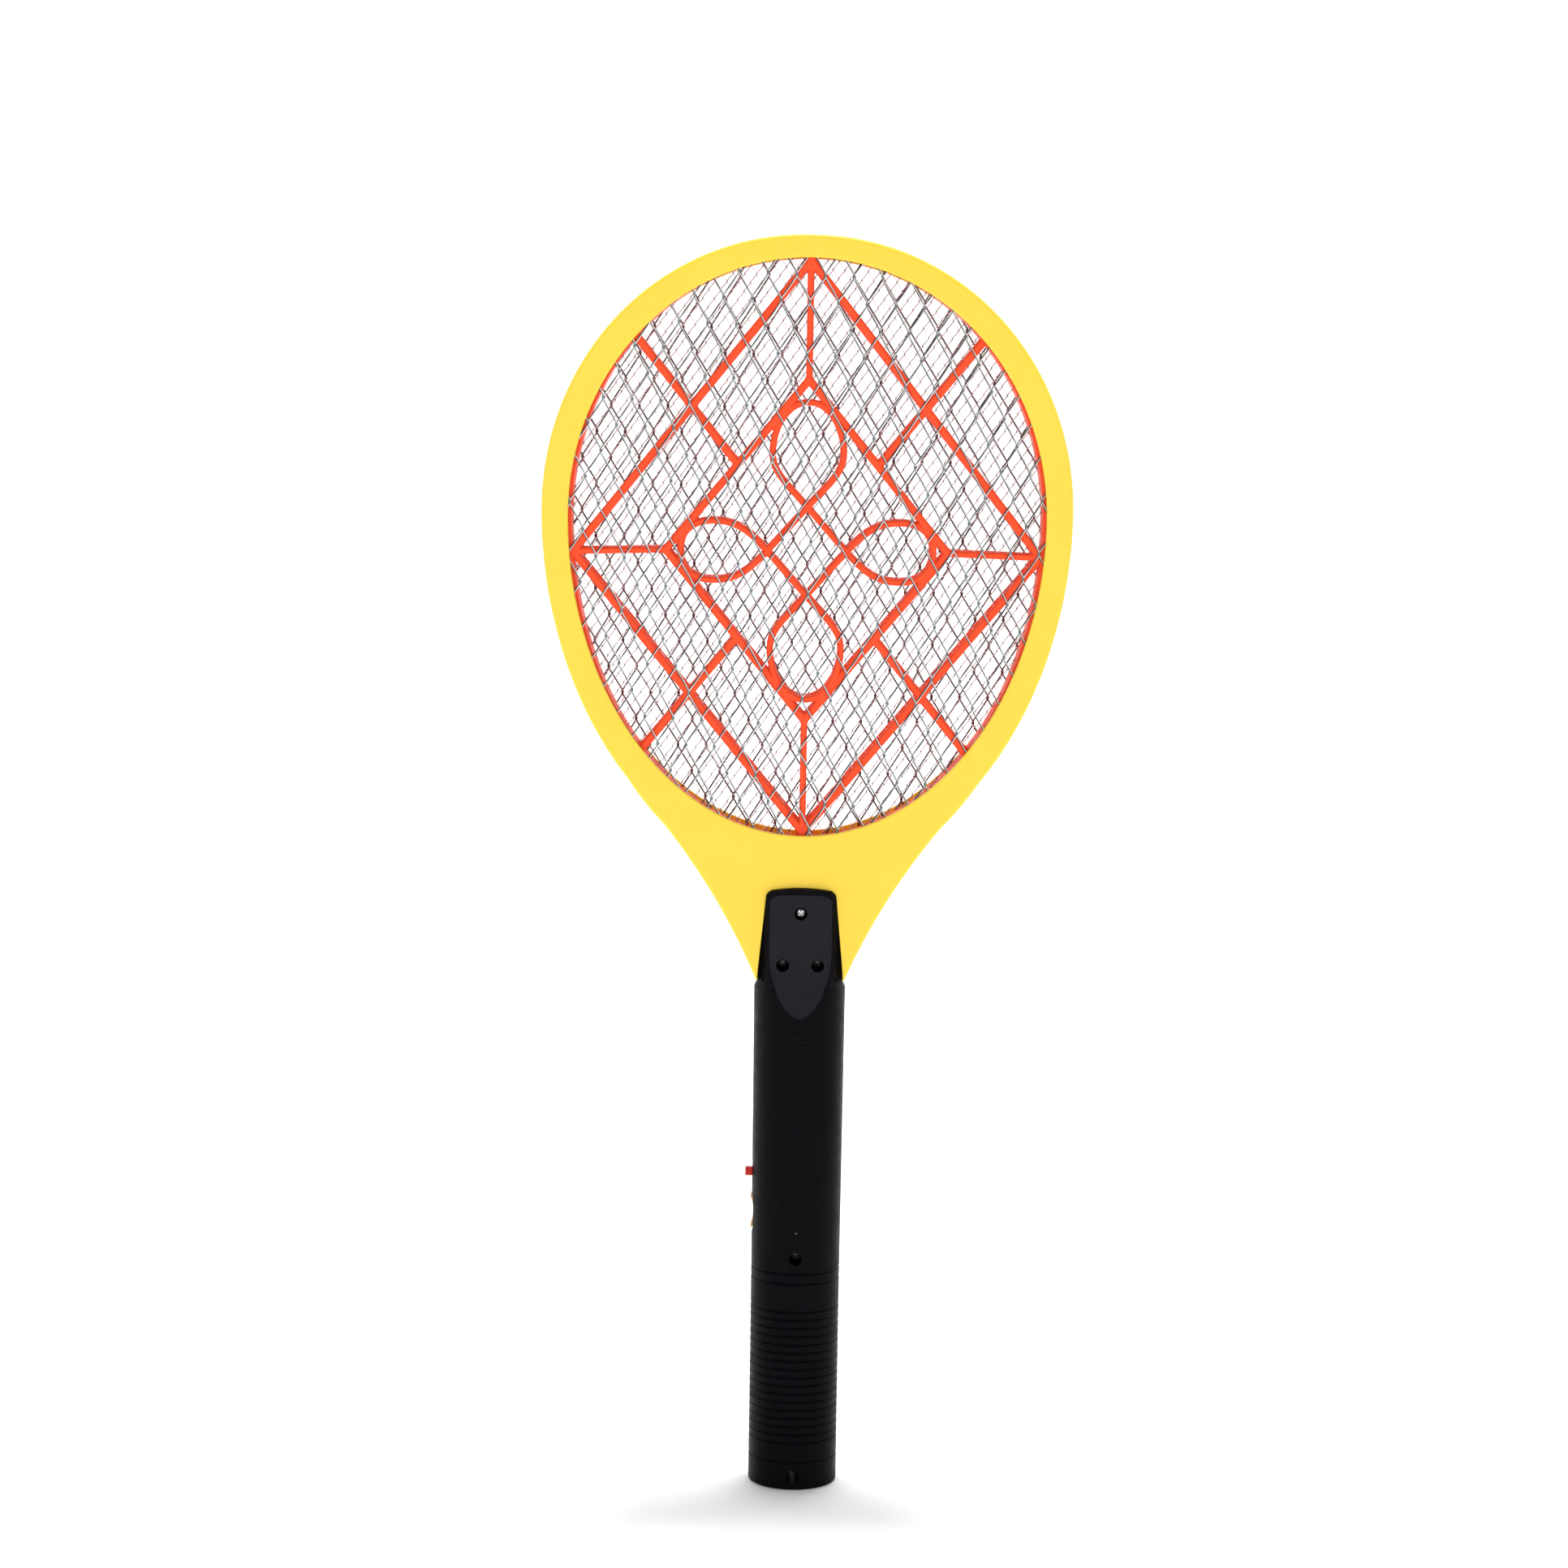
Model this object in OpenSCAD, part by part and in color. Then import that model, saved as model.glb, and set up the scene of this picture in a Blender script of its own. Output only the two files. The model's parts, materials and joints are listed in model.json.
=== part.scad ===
// Electric fly swatter: a racket head with three nets and two spacer grilles,
// on a two-shell handle that holds a rechargeable high-voltage circuit.
// X runs across the head, Y through its thickness and Z up the handle.
// The origin is the centre of the handle's flat base; the screws face -Y.

/* [Head] */
// Half width of the head at its widest level
head_half_w = 97.65; // [95:0.05:100]
// Height of the widest level above the base
head_z = 367; // [366:0.5:369]
// Height of the head above its widest level
head_rise = 101.2; // [100:0.1:104]
// Depth of the lower half-oval below the widest level
head_drop = 134.6; // [132:0.1:136]
// Thickness of the closed head
head_t = 20; // [20:0.5:22]
// Wall thickness of the head frames
frame_wall = 2; // [1.6:0.1:2.4]

/* [Opening] */
// Half width of the net opening
opening_half_w = 87.9; // [86:0.1:88.5]
// Height of the opening's widest level
opening_z = 365.1; // [364:0.1:366]
// Height of the opening above its widest level
opening_rise = 94.7; // [93:0.1:95]
// Depth of the opening below its widest level
opening_drop = 117.7; // [116:0.1:119]

/* [Nets] */
// Thickness of each net sheet
net_t = 0.6; // [0.4:0.1:0.8]
// Mesh width of the outer nets
outer_mesh_w = 10.5; // [9:0.5:14]
// Mesh height of the outer nets
outer_mesh_h = 19.4; // [17:0.2:24]
// Strand width of the outer nets
outer_strand = 0.6; // [0.5:0.1:1]
// Mesh width of the inner net
inner_mesh_w = 8.6; // [8:0.1:12]
// Mesh height of the inner net
inner_mesh_h = 13; // [12:0.5:18]
// Strand width of the inner net
inner_strand = 0.5; // [0.4:0.1:0.8]
// Fall of the rear and inner nets' rows across the head, in degrees
mesh_tilt = 2.5; // [0:0.5:5]

/* [Grilles] */
// Width of the slanted bars
bar_w = 2.9; // [2.4:0.1:3.4]
// Width of the petals and of the straight links
thin_bar_w = 2.4; // [2:0.1:2.8]
// Depth of the bars through the head
bar_depth = 3.4; // [2:0.1:5]

/* [Handle] */
// Radius of the handle at its base
base_r = 16.65; // [16.5:0.05:17]
// Radius of the handle at its shoulder
shoulder_r = 17.05; // [17:0.05:17.3]
// Height of the shoulder under the head
shoulder_z = 192; // [191:0.5:193]
// Wall thickness of the handle shells
shell_wall = 2; // [1.6:0.1:2.2]
// Top of the tongue that covers the neck
tongue_top_z = 227; // [225:0.5:228]
// Number of grip grooves
grip_grooves = 17; // [5:1:17]
// Spacing of the grip grooves
grip_pitch = 3.15; // [2.4:0.05:3.15]

/* [Controls and plug] */
// Height of the slide switch
switch_z = 118.7; // [117:0.1:120]
// Travel of the slide switch
switch_travel = 2.5; // [1.5:0.1:2.5]
// Height of the middle of the push button
button_z = 103.9; // [103:0.1:104]
// Length of the push button
button_len = 11.9; // [10:0.1:12]
// Travel of the push button
button_travel = 0.8; // [0.4:0.1:0.8]
// Distance that the charging plug slides out
plug_travel = 19; // [15:0.5:19]
// Spacing of the charging pins
pin_spacing = 19; // [17:0.5:19]

/* [Hidden] */
$fn = 64;

eps = 0.5;             // how far a cutter runs past the face that it cuts
slit = 0.05;           // half the gap along the split between two halves
outline_step = 3;      // angle between outline points

// ---- head outline ----
head_half = head_t / 2;
rise_power = 2.03;     // fullness of the upper half-oval (2 is an ellipse)
drop_power = 1.96;     // fullness of the lower half-oval
drop_end = 48.6;       // where the lower half-oval runs out into the flare
flare_run = 20.4;      // straight run between the oval and the flare
flare_heading = 129;   // direction of that run, below the X axis
flare_r = 244;         // hollow radius of the flare towards the neck
flare_sweep = 16;      // angle that the flare turns through
lip_t = 2;             // thickness of the frame's face around the nets
seat_gap = 4.4;        // how far the nets' seat lies outside the opening
seat_wall = 1.5;       // wall around the seat
tang_half_w = 12.5;    // half width of the tang inside the handle
tang_z = 173;          // lower end of the tang
bed_d = 5.6;           // half thickness of the neck under the tongues
bed_floor = 2;         // thickness of that floor
bed_gap = 0.25;        // gap around a tongue in its bed
lead_gap_w = 7;        // way through the tang's lower end for the nets' leads
lead_slot = [18, 10];  // width and height of the window between the neck and the seat
lead_slot_z = 236;

// ---- nets and grilles ----
net_gap = 0.6;         // gap around a net in its seat
net_rim = 2;           // unpierced width just inside the seat
least_reach = 0.2;     // a diamond cut shorter than this is left out
tail_w = 4;            // tab that a net's lead is soldered to
tail_drop = 9;         // how far the tab reaches below the opening
lead_x = 5;            // place of the two outer nets' tabs
net_half_w = opening_half_w + seat_gap - net_gap;
grille_gap = 0.3;      // gap around a grille in its seat
ring_side = -1.3;      // how far a grille's ring stands outside the opening at its sides
ring_up = 0.9;
ring_down = 1.7;

// ---- tongue and scoop ----
tongue_foot_w = 16.05; // half width of the tongue at the shoulder
tongue_tip_w = 12.9;   // half width just under its rounded corners
tongue_corner = 3;
tongue_arch = 0.8;     // rise of the tongue's top edge between its corners
tongue_d = 5.8;        // depth of the tongue's underside
tongue_skin = 2;
tongue_root = 3;       // how far the tongue runs down into the shoulder
tongue_step = 0.2;     // its surface lies this far inside the shoulder's
plate_d = 12.2;        // depth of the flat plate on the tongue
scoop_z = 205;         // where the flat plate starts to ramp out
scoop_r = 50;
scoop_turn = 14.5;     // final slope of the ramp
ramp_out = 8;          // how far the ramp is cut past the end of its curve

// ---- handle ----
handle_top_wall = 2;
base_edge_r = 1;
groove_depth = 0.4;
groove_half = 0.6;
grip_z = 18;           // lowest grip groove
ring_grooves = [10.6, 79.2, 82.9];

// ---- screws ----
screw_r = 1.3;
screw_head_r = 2.15;
screw_head_h = 1.9;
counterbore_r = 2.4;
pilot_r = 1.35;
passage_r = 1.6;
boss_r = 3.6;
top_screw_z = 218.5;
low_screw_z = 199.2;
low_screw_x = 6.5;
top_head_d = 7.7;      // depth of the seat under the top screw's head
low_head_d = 3.4;      // depth of the seat under the two lower heads
neck_tip_d = 8.4;      // how deep the neck screws reach on the far side
grip_screw_z = 88.7;
grip_head_d = 7.8;
grip_tip_d = 7.4;
grip_boss_r = 4;
strap_z = 5;
strap_r = 2.4;
strap_boss_r = 4.2;
boss_end_d = 15.4;     // bosses stop inside the shell's outer surface

// ---- controls ----
knob_w = 3;
knob_h = 3.1;
knob_tip = 19.4;
knob_gap = 0.3;
switch_face = 13;      // distance of the slide switch's face from the axis
switch_depth = 3.7;
switch_len = 8.6;
switch_w = 4.4;
switch_pocket = 2.2;
button_w = 7.2;
button_tip = 17.15;
button_sag_r = 17;
button_gap = 0.3;
thumb_cut = [2, 0, 6]; // reach and height of the sloping cut below the button
thumb_slope = 20;
flange_face = 13.7;
flange_t = 1;
flange_extra = 1;
stem_r = 1.7;
stem_bore_r = 1.75;
stem_end = 10.4;
tact_face = 11.4;
tact_depth = 3.5;
tact_size = 6;
led_z = 98.3;
led_r = 1.5;
led_tip_d = 14.2;
led_hole_r = 0.7;

// ---- circuit ----
board_y = 3.2;
board_t = 1.6;
board_left = -11;
board_right = 12.5;
board_z = [94.5, 168];
rib_t = 1.6;
board_ribs = [129.4, 155.2];
transformer_z = 151;
transformer_y = -4;
winding_size = [11.6, 11, 8.6];
winding_leads = [4, 3.4];      // spacing of the transformer's leads across, and half of it up
diode_spots = [for (x = [-7.5 : 5 : 7.5]) [x, 138.8, 8]];    // X, Z and lead spacing
resistor_spots = [[-6, 162, 8.6], [0, 162, 8.6], [6, 162, 8.6], [6, 107, 8.6]];
reservoir_spot = [5.2, 123, 11];
charging_spot = [-3.4, 128, 9];
transistor_spot = [-2.2, 109];
transistor_pitch = 1.2;
transistor_lift = 3.4;
lead_r = 0.3;
lead_play = 0.05;      // gap around a lead in its hole
lead_proud = 0.5;      // how far a lead stands out of the board's far side
part_gap = 0.35;       // gap between the board and the parts on it
terminal_t = 0.5;
terminal_proud = 1;

// ---- power ----
cell_r = 6.9;
cell_x = 7.1;
cell_z = 44;
cell_len = 28.5;
shelf_zs = [42, 74.3];
shelf_inner_x = 8.3;
carrier_z = 29;
carrier_size = [25.2, 9, 7];
pin_r = 2;
pin_tip_z = 1;
pin_tail = 1.5;
pin_hole_r = 2.35;
base_wall = 2;
strip_x = 13.2;
strip_t = 0.4;
strip_z = [11, 41.5];
channel_half_w = 4.4;
channel_floor = 14.6;
channel_skin = 2;
slider_stem_w = 3.4;
slider_gap = 0.3;
slider_len = 9;
slider_z = 28;
slider_top = 16.1;

// ======== outlines, drawn in X and Z ========

function mirrored(half) =
    concat(half, [for (i = [len(half) - 1 : -1 : 0]) if (half[i].x > 0) [-half[i].x, half[i].y]]);

function oval_top(w, h, z, power) =
    [for (t = [90 : -outline_step : 0]) [w * pow(cos(t), 2 / power), z + h * pow(sin(t), 2 / power)]];

function oval_bottom(w, h, z, power, last) =
    [for (t = [outline_step : outline_step : last])
        [w * pow(cos(t), 2 / power), z - h * pow(sin(t), 2 / power)]];

// the flare is an arc that starts after a straight run, tangent to it
run_dir = [cos(flare_heading), -sin(flare_heading)];
run_start = [
    head_half_w * pow(cos(drop_end), 2 / drop_power),
    head_z - head_drop * pow(sin(drop_end), 2 / drop_power)
];
flare_centre = run_start + flare_run * run_dir + flare_r * [-run_dir.y, run_dir.x];
flare_start = 270 - flare_heading;

function flare(inset) =
    [for (t = [0 : 2 : flare_sweep])
        flare_centre + (flare_r + inset) * [cos(flare_start + t), sin(flare_start + t)]];

module head_outline(inset = 0)
    polygon(mirrored(concat(
        oval_top(head_half_w - inset, head_rise - inset, head_z, rise_power),
        oval_bottom(head_half_w - inset, head_drop - inset, head_z, drop_power, drop_end),
        flare(inset))));

// the net opening and everything concentric with it
module opening_outline(side = 0, up = 0, down = 0)
    polygon(mirrored(concat(
        oval_top(opening_half_w + side, opening_rise + up, opening_z, 2),
        oval_bottom(opening_half_w + side, opening_drop + down, opening_z, 2, 90))));

module seat_outline(grow) opening_outline(grow, grow, grow);

function tongue_half(grow) =
    let (r = tongue_corner + grow, c = [tongue_tip_w - tongue_corner, tongue_top_z - tongue_corner])
    concat([for (k = [0 : 0.25 : 0.75]) [k * c.x, c.y + r + tongue_arch * (1 - k * k)]],
           [for (t = [90 : -15 : 0]) c + r * [cos(t), sin(t)]],
           [[tongue_foot_w + grow, shoulder_z]]);

module tongue_outline(grow = 0) polygon(mirrored(tongue_half(grow)));

module tang_outline(inset = 0)
    translate([-tang_half_w + inset, tang_z + inset])
        square([2 * (tang_half_w - inset), shoulder_z - tang_z + 4 * eps]);

// ======== placing helpers ========

// extrudes an X-Z outline between two depths on the -Y side
module slab(from, to) rotate([90, 0, 0]) translate([0, 0, from]) linear_extrude(to - from) children();

// puts a feature drawn along +Z at a depth on the -Y side, pointing out of the rear
module on_rear(x, z, depth = 0) translate([x, -depth, z]) rotate([90, 0, 0]) children();

module to_front() mirror([0, 1, 0]) children();

// a straight round bar between two points
module rod(a, b, r) {
    v = b - a;
    translate(a)
        rotate([0, acos(v.z / norm(v)), atan2(v.y, v.x)])
            cylinder(r = r, h = norm(v), $fn = 20);
}

wire_sides = 8;
wire_up = [1, 0.2, 0.1];    // no wire runs this way

function unit(v) = v / norm(v);

// corners of a wire's section at a point, square to the way it runs there
function wire_ring(path, i, r) =
    let (last = len(path) - 1,
         d = unit(path[min(i + 1, last)] - path[max(i - 1, 0)]),
         u = unit(cross(d, wire_up)), v = cross(d, u))
    [for (a = [0 : 360 / wire_sides : 359]) path[i] + r * (cos(a) * u + sin(a) * v)];

// a wire swept through a list of points
module wire(path, r) {
    last = len(path) - 1;
    polyhedron(
        points = [for (i = [0 : last]) each wire_ring(path, i, r)],
        faces = concat(
            [[for (k = [0 : wire_sides - 1]) k]],
            [for (i = [0 : last - 1], k = [0 : wire_sides - 1])
                let (n = (k + 1) % wire_sides, o = i * wire_sides)
                [o + k, o + wire_sides + k, o + wire_sides + n, o + n]],
            [[for (k = [wire_sides - 1 : -1 : 0]) last * wire_sides + k]]));
}

module neck_screw_spots() {
    translate([0, 0, top_screw_z]) children();
    for (s = [-1, 1]) translate([s * low_screw_x, 0, low_screw_z]) children();
}

// ======== head ========

// one half of the head, on the -Y side; the other half is its mirror image
module head_frame_half() {
    difference() {
        union() {
            slab(slit, head_half) difference() {
                head_outline();
                head_outline(frame_wall);
            }
            slab(head_half - lip_t, head_half) head_outline();
            slab(slit, head_half) seat_outline(seat_gap + seat_wall);
            slab(slit, head_half) intersection() {
                head_outline();
                tongue_outline(bed_gap + seat_wall);
            }
            slab(slit, bed_d) tang_outline();
        }
        slab(-eps, head_half + eps) opening_outline();
        slab(-eps, head_half - lip_t) seat_outline(seat_gap);
        slab(bed_d, head_half + eps) tongue_outline(bed_gap);
        difference() {
            slab(-eps, bed_d - bed_floor) neck_hollow();
            neck_screw_spots() on_rear(0, 0, 0) cylinder(r = boss_r, h = bed_d);
        }
        lead_window();
    }
}

// the space in the neck that the nets' leads run up through
module neck_hollow() {
    tongue_outline(-frame_wall);
    tang_outline(frame_wall);
    translate([-lead_gap_w / 2, tang_z - eps]) square([lead_gap_w, 2 * frame_wall]);
    translate([-lead_gap_w, tongue_top_z - 12]) square([2 * lead_gap_w, 22]);
}

// lets the nets' tails and leads through the wall of the seat
module lead_window()
    translate([-lead_slot.x / 2, -head_half + lip_t, lead_slot_z])
        cube([lead_slot.x, head_half - lip_t + eps, lead_slot.y]);

module rear_head_frame() color("gold")
    difference() {
        head_frame_half();
        on_rear(0, top_screw_z, -eps) cylinder(r = passage_r, h = head_half + 2 * eps);
        for (s = [-1, 1]) {
            on_rear(s * low_screw_x, low_screw_z, -eps) cylinder(r = passage_r, h = head_half + 2 * eps);
            on_rear(s * low_screw_x, low_screw_z, low_head_d) cylinder(r = counterbore_r, h = head_half);
        }
    }

module front_head_frame() color("gold")
    difference() {
        to_front() head_frame_half();
        neck_screw_spots() on_rear(0, 0, -head_half) cylinder(r = passage_r, h = head_half + eps);
    }

// ======== nets ========

// how far along the way from a to b the seat's oval is crossed, or 1 if b is inside it
function oval_reach(a, b, grow) =
    let (rise = (a.y + b.y) / 2 > opening_z ? opening_rise : opening_drop,
         k = [1 / (opening_half_w + grow), 1 / (rise + grow)],
         p = [a.x * k.x, (a.y - opening_z) * k.y],
         v = [(b.x - a.x) * k.x, (b.y - a.y) * k.y],
         along = p * v, room = 1 - p * p)
    room <= 0 ? 0 : min(1, (-along + sqrt(along * along + v * v * room)) / (v * v));

// a point on the net's edge, counted in degrees from the right-hand side
function net_edge(a) =
    let (rise = (a > 0 || a < -180 ? opening_rise : opening_drop) + seat_gap - net_gap)
    [net_half_w * cos(a), opening_z + rise * sin(a)];

// the net's outline, run clockwise from the top, with its tab
module net_blank(tail_x) {
    right = -acos((tail_x + tail_w / 2) / net_half_w);
    left = -acos((tail_x - tail_w / 2) / net_half_w);
    foot = opening_z - opening_drop - tail_drop;
    resume = floor(left / outline_step) * outline_step;
    polygon(concat(
        [for (a = [90 : -outline_step : right]) net_edge(a)],
        [net_edge(right), [tail_x + tail_w / 2, foot], [tail_x - tail_w / 2, foot], net_edge(left)],
        [for (a = [resume : -outline_step : outline_step - 270]) net_edge(a)]));
}

// a sheet pierced by rows of tall diamonds, those at its edge cut short, with a tail for its lead
module net(w, h, strand, tail_x, tilt = 0) {
    lean = atan(w / h);
    half = [w / 2 - strand / cos(lean) / 2, h / 2 - strand / sin(lean) / 2];
    turn = [[cos(tilt), sin(tilt)], [-sin(tilt), cos(tilt)]];
    n = 2 * ceil(head_half_w / w);
    m = 2 * ceil(head_drop / h);
    difference() {
        net_blank(tail_x);
        for (i = [-n : n], j = [-m : m]) if ((i + j) % 2 == 0) {
            c = [0, opening_z] + turn * [i * w / 2, j * h / 2];
            corners = [for (q = [[half.x, 0], [0, half.y], [-half.x, 0], [0, -half.y]]) c + turn * q];
            reach = [for (q = corners) oval_reach(c, q, seat_gap - net_rim)];
            if (min(reach) > least_reach) polygon([for (k = [0 : 3]) c + reach[k] * (corners[k] - c)]);
        }
    }
}

outer_net_d = head_half - lip_t - net_t;

module outer_net(tail_x, tilt)
    slab(outer_net_d, outer_net_d + net_t) net(outer_mesh_w, outer_mesh_h, outer_strand, tail_x, tilt);

module rear_outer_net() color("silver") outer_net(-lead_x, mesh_tilt);

module front_outer_net() color("silver") to_front() outer_net(lead_x, 0);

module inner_net() color("dimgray")
    slab(-net_t / 2, net_t / 2) net(inner_mesh_w, inner_mesh_h, inner_strand, 0, mesh_tilt);

// ======== grilles ========

// corners of the two rhombs, and where the cross bars run
rhomb_side = [86.2, 351.5];
rhomb_top = [0, 459];
rhomb_bottom = [0, 248.5];
core_side = [52, 352.6];
core_top = [0, 415.5];
core_bottom = [0, 290.2];
cross_top = [[27.3, 386], [64.5, 431.5]];
cross_bottom = [[26.6, 319.2], [61, 277.5]];
heart_z = 352.6;       // middle of the small diamond between the petals
heart_half_w = 14.6;
heart_half_h = 16.3;
// reach of a petal from its crossing, height and half width of its broadest level,
// pull of its curve at the crossing and at that level, and fullness of its round end
tall_petal = [38.4, 19.5, 13.1, 11, 7, 2];
wide_petal = [32, 19.5, 10.9, 10, 8, 2.3];
gusset = 5;

module bar(a, b, w) {
    v = b - a;
    translate(a) rotate(atan2(v.y, v.x)) translate([-w / 4, -w / 2]) square([norm(v) + w / 2, w]);
}

// half of a petal's centreline, from its crossing at the origin up to its tip on the Y axis
function petal_half(p, angle) =
    let (broad = [p[2], p[1]], a = p[3] * [sin(angle), cos(angle)], b = broad - [0, p[4]])
    concat([for (t = [0 : 0.125 : 0.875]) 3 * t * (1 - t) * ((1 - t) * a + t * b) + pow(t, 3) * broad],
           [for (t = [0 : 10 : 90]) [broad.x * pow(cos(t), 2 / p[5]),
                                     broad.y + (p[0] - broad.y) * pow(sin(t), 2 / p[5])]],
           [[-1, p[0]]]);

// a bar along a line of points
module ribbon(line, w) {
    last = len(line) - 1;
    side = [for (i = [0 : last])
        let (v = line[min(i + 1, last)] - line[max(i - 1, 0)]) [-v.y, v.x] * w / 2 / norm(v)];
    polygon(concat([for (i = [0 : last]) line[i] + side[i]], [for (i = [last : -1 : 0]) line[i] - side[i]]));
}

// a loop that opens from a crossing at the given angle, up the Y axis
module petal(sizes, cross, angle)
    translate([0, cross]) for (s = [-1, 1]) scale([s, 1]) ribbon(petal_half(sizes, angle), thin_bar_w);

module flower() translate([0, heart_z]) {
    slope = atan(heart_half_w / heart_half_h);
    for (turn = [0, 180]) rotate(turn) petal(tall_petal, heart_half_h, slope);
    for (turn = [90, 270]) rotate(turn) petal(wide_petal, heart_half_w, 90 - slope);
    for (s = [-1, 1], u = [-1, 1]) bar([0, u * heart_half_h], [s * heart_half_w, 0], thin_bar_w);
}

module grille_bars() {
    for (s = [-1, 1]) scale([s, 1]) {
        bar(rhomb_top, rhomb_side, bar_w);
        bar(rhomb_bottom, rhomb_side, bar_w);
        bar(core_top, core_side, bar_w);
        bar(core_bottom, core_side, bar_w);
        bar(core_side, rhomb_side + [2, 0], thin_bar_w);
        bar(cross_top[0], cross_top[1], bar_w);
        bar(cross_bottom[0], cross_bottom[1], bar_w);
        polygon([rhomb_side + [2, -gusset], rhomb_side + [2, gusset], rhomb_side - [gusset, 0]]);
    }
    bar(core_top, rhomb_top + [0, 3], thin_bar_w);
    bar(rhomb_bottom - [0, 4], core_bottom, thin_bar_w);
    for (p = [rhomb_top + [0, 3], rhomb_bottom - [0, 4]])
        polygon([p - [gusset, 0], p + [gusset, 0], p + [0, (heart_z > p.y ? 1 : -1) * 2 * gusset]]);
    flower();
}

module grille() {
    inner_face = net_t / 2;
    slab(inner_face, outer_net_d) difference() {
        seat_outline(seat_gap - grille_gap);
        opening_outline(ring_side, ring_up, ring_down);
    }
    slab(outer_net_d - bar_depth, outer_net_d) intersection() {
        grille_bars();
        seat_outline(seat_gap - 3 * grille_gap);
    }
}

module rear_grille() color("orangered") grille();

module front_grille() color("orangered") to_front() grille();

// ======== handle ========

// the handle is straight up to its last ring groove, then widens towards the shoulder
function handle_r(z) =
    base_r + (shoulder_r - base_r) * max(0, z - ring_grooves[2]) / (shoulder_z - ring_grooves[2]);

function groove(z) = [
    [handle_r(z), z - groove_half],
    [handle_r(z) - groove_depth, z],
    [handle_r(z), z + groove_half]
];

groove_zs = concat([ring_grooves[0]], [for (i = [0 : grip_grooves - 1]) grip_z + i * grip_pitch],
                   [ring_grooves[1], ring_grooves[2]]);

handle_profile = concat(
    [[0, 0]],
    [for (t = [0 : 15 : 90]) [base_r, base_edge_r] + base_edge_r * [sin(t) - 1, -cos(t)]],
    [for (z = groove_zs) each groove(z)],
    [[shoulder_r, shoulder_z - 2.2], [shoulder_r - 0.7, shoulder_z - 0.8]],
    [[tongue_foot_w, shoulder_z], [0, shoulder_z]]);

cavity_profile = [
    [0, base_wall], [base_r - shell_wall, base_wall],
    [base_r - shell_wall, ring_grooves[2]],
    [shoulder_r - shell_wall, shoulder_z - handle_top_wall], [0, shoulder_z - handle_top_wall]
];

// everything outside the ramp and the flat plate, on the -Y side
module scoop(shift = 0) {
    ramp_end = scoop_point(scoop_turn) + ramp_out * [1, -1 / tan(scoop_turn)];
    above = tongue_top_z + 4;
    profile = concat(
        [[plate_d, above]],
        [for (k = [0 : 6]) scoop_point(k * scoop_turn / 6)],
        [ramp_end, [plate_d + 2 * ramp_out, ramp_end.y], [plate_d + 2 * ramp_out, above]]);
    translate([-25, 0, 0]) rotate([90, 0, 90]) linear_extrude(50)
        polygon([for (p = profile) [shift - p.x, p.y]]);
}

// depth and height of a point on the hollow curve, by how far it has turned
function scoop_point(t) = [plate_d + scoop_r * (1 - cos(t)), scoop_z - scoop_r * sin(t)];

// the tongue's solid on the -Y side, before the scoop is cut
module tongue_block() intersection() {
    slab(tongue_d, shoulder_r + 1) {
        tongue_outline();
        translate([-tongue_foot_w, shoulder_z - tongue_root]) square([2 * tongue_foot_w, tongue_root + eps]);
    }
    cylinder(r = shoulder_r - tongue_step, h = tongue_top_z + 5);
}

module shell_half() {
    difference() {
        intersection() {
            rotate_extrude() polygon(handle_profile);
            translate([-30, -30 - slit, -1]) cube([60, 30, 300]);
        }
        difference() {
            rotate_extrude() polygon(cavity_profile);
            scoop(shell_wall);
            rear_bosses();
        }
        scoop();
        translate([-tang_half_w - bed_gap, -bed_d - bed_gap, shoulder_z - 5])
            cube([2 * (tang_half_w + bed_gap), 2 * bed_d, 10]);
        base_holes();
        side_openings();
    }
    tongue_half_solid();
}

module tongue_half_solid() difference() {
    tongue_block();
    scoop();
    difference() {
        slab(tongue_d - eps, plate_d - tongue_skin) intersection() {
            tongue_outline(-tongue_skin);
            translate([-20, shoulder_z + 1]) square([40, 40]);
        }
        neck_screw_spots() on_rear(0, 0, tongue_d) cylinder(r = boss_r, h = plate_d);
    }
}

// bosses and shelves that stand inside one shell
module rear_bosses() {
    on_rear(0, grip_screw_z, slit) cylinder(r = grip_boss_r, h = boss_end_d);
    on_rear(0, strap_z, slit) cylinder(r = strap_boss_r, h = boss_end_d);
    for (z = shelf_zs, s = [-1, 1])
        translate([s * (shelf_inner_x + 5) - 5, -14, z]) cube([10, 14 - slit, rib_t]);
}

module base_holes() for (s = [-1, 1])
    translate([s * pin_spacing / 2, 0, -1]) cylinder(r = pin_hole_r, h = base_wall + 2);

// windows for the two controls, on the -X side
module side_openings() {
    slot_h = knob_h + switch_travel + 2 * knob_gap;
    translate([-20, -knob_w / 2 - knob_gap, switch_z - knob_h / 2 - knob_gap])
        cube([8, knob_w + 2 * knob_gap, slot_h]);
    window_h = button_len + 2 * button_gap;
    translate([-20, -button_w / 2 - button_gap, button_z - window_h / 2])
        cube([8, button_w + 2 * button_gap, window_h]);
    translate([-base_r - thumb_cut.x, -button_w / 2, button_z - window_h / 2 - thumb_cut.z])
        rotate([0, thumb_slope, 0]) translate([-thumb_cut.x, 0, 0])
            cube([thumb_cut.x + 0.6, button_w, thumb_cut.z + 2]);
}

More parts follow.
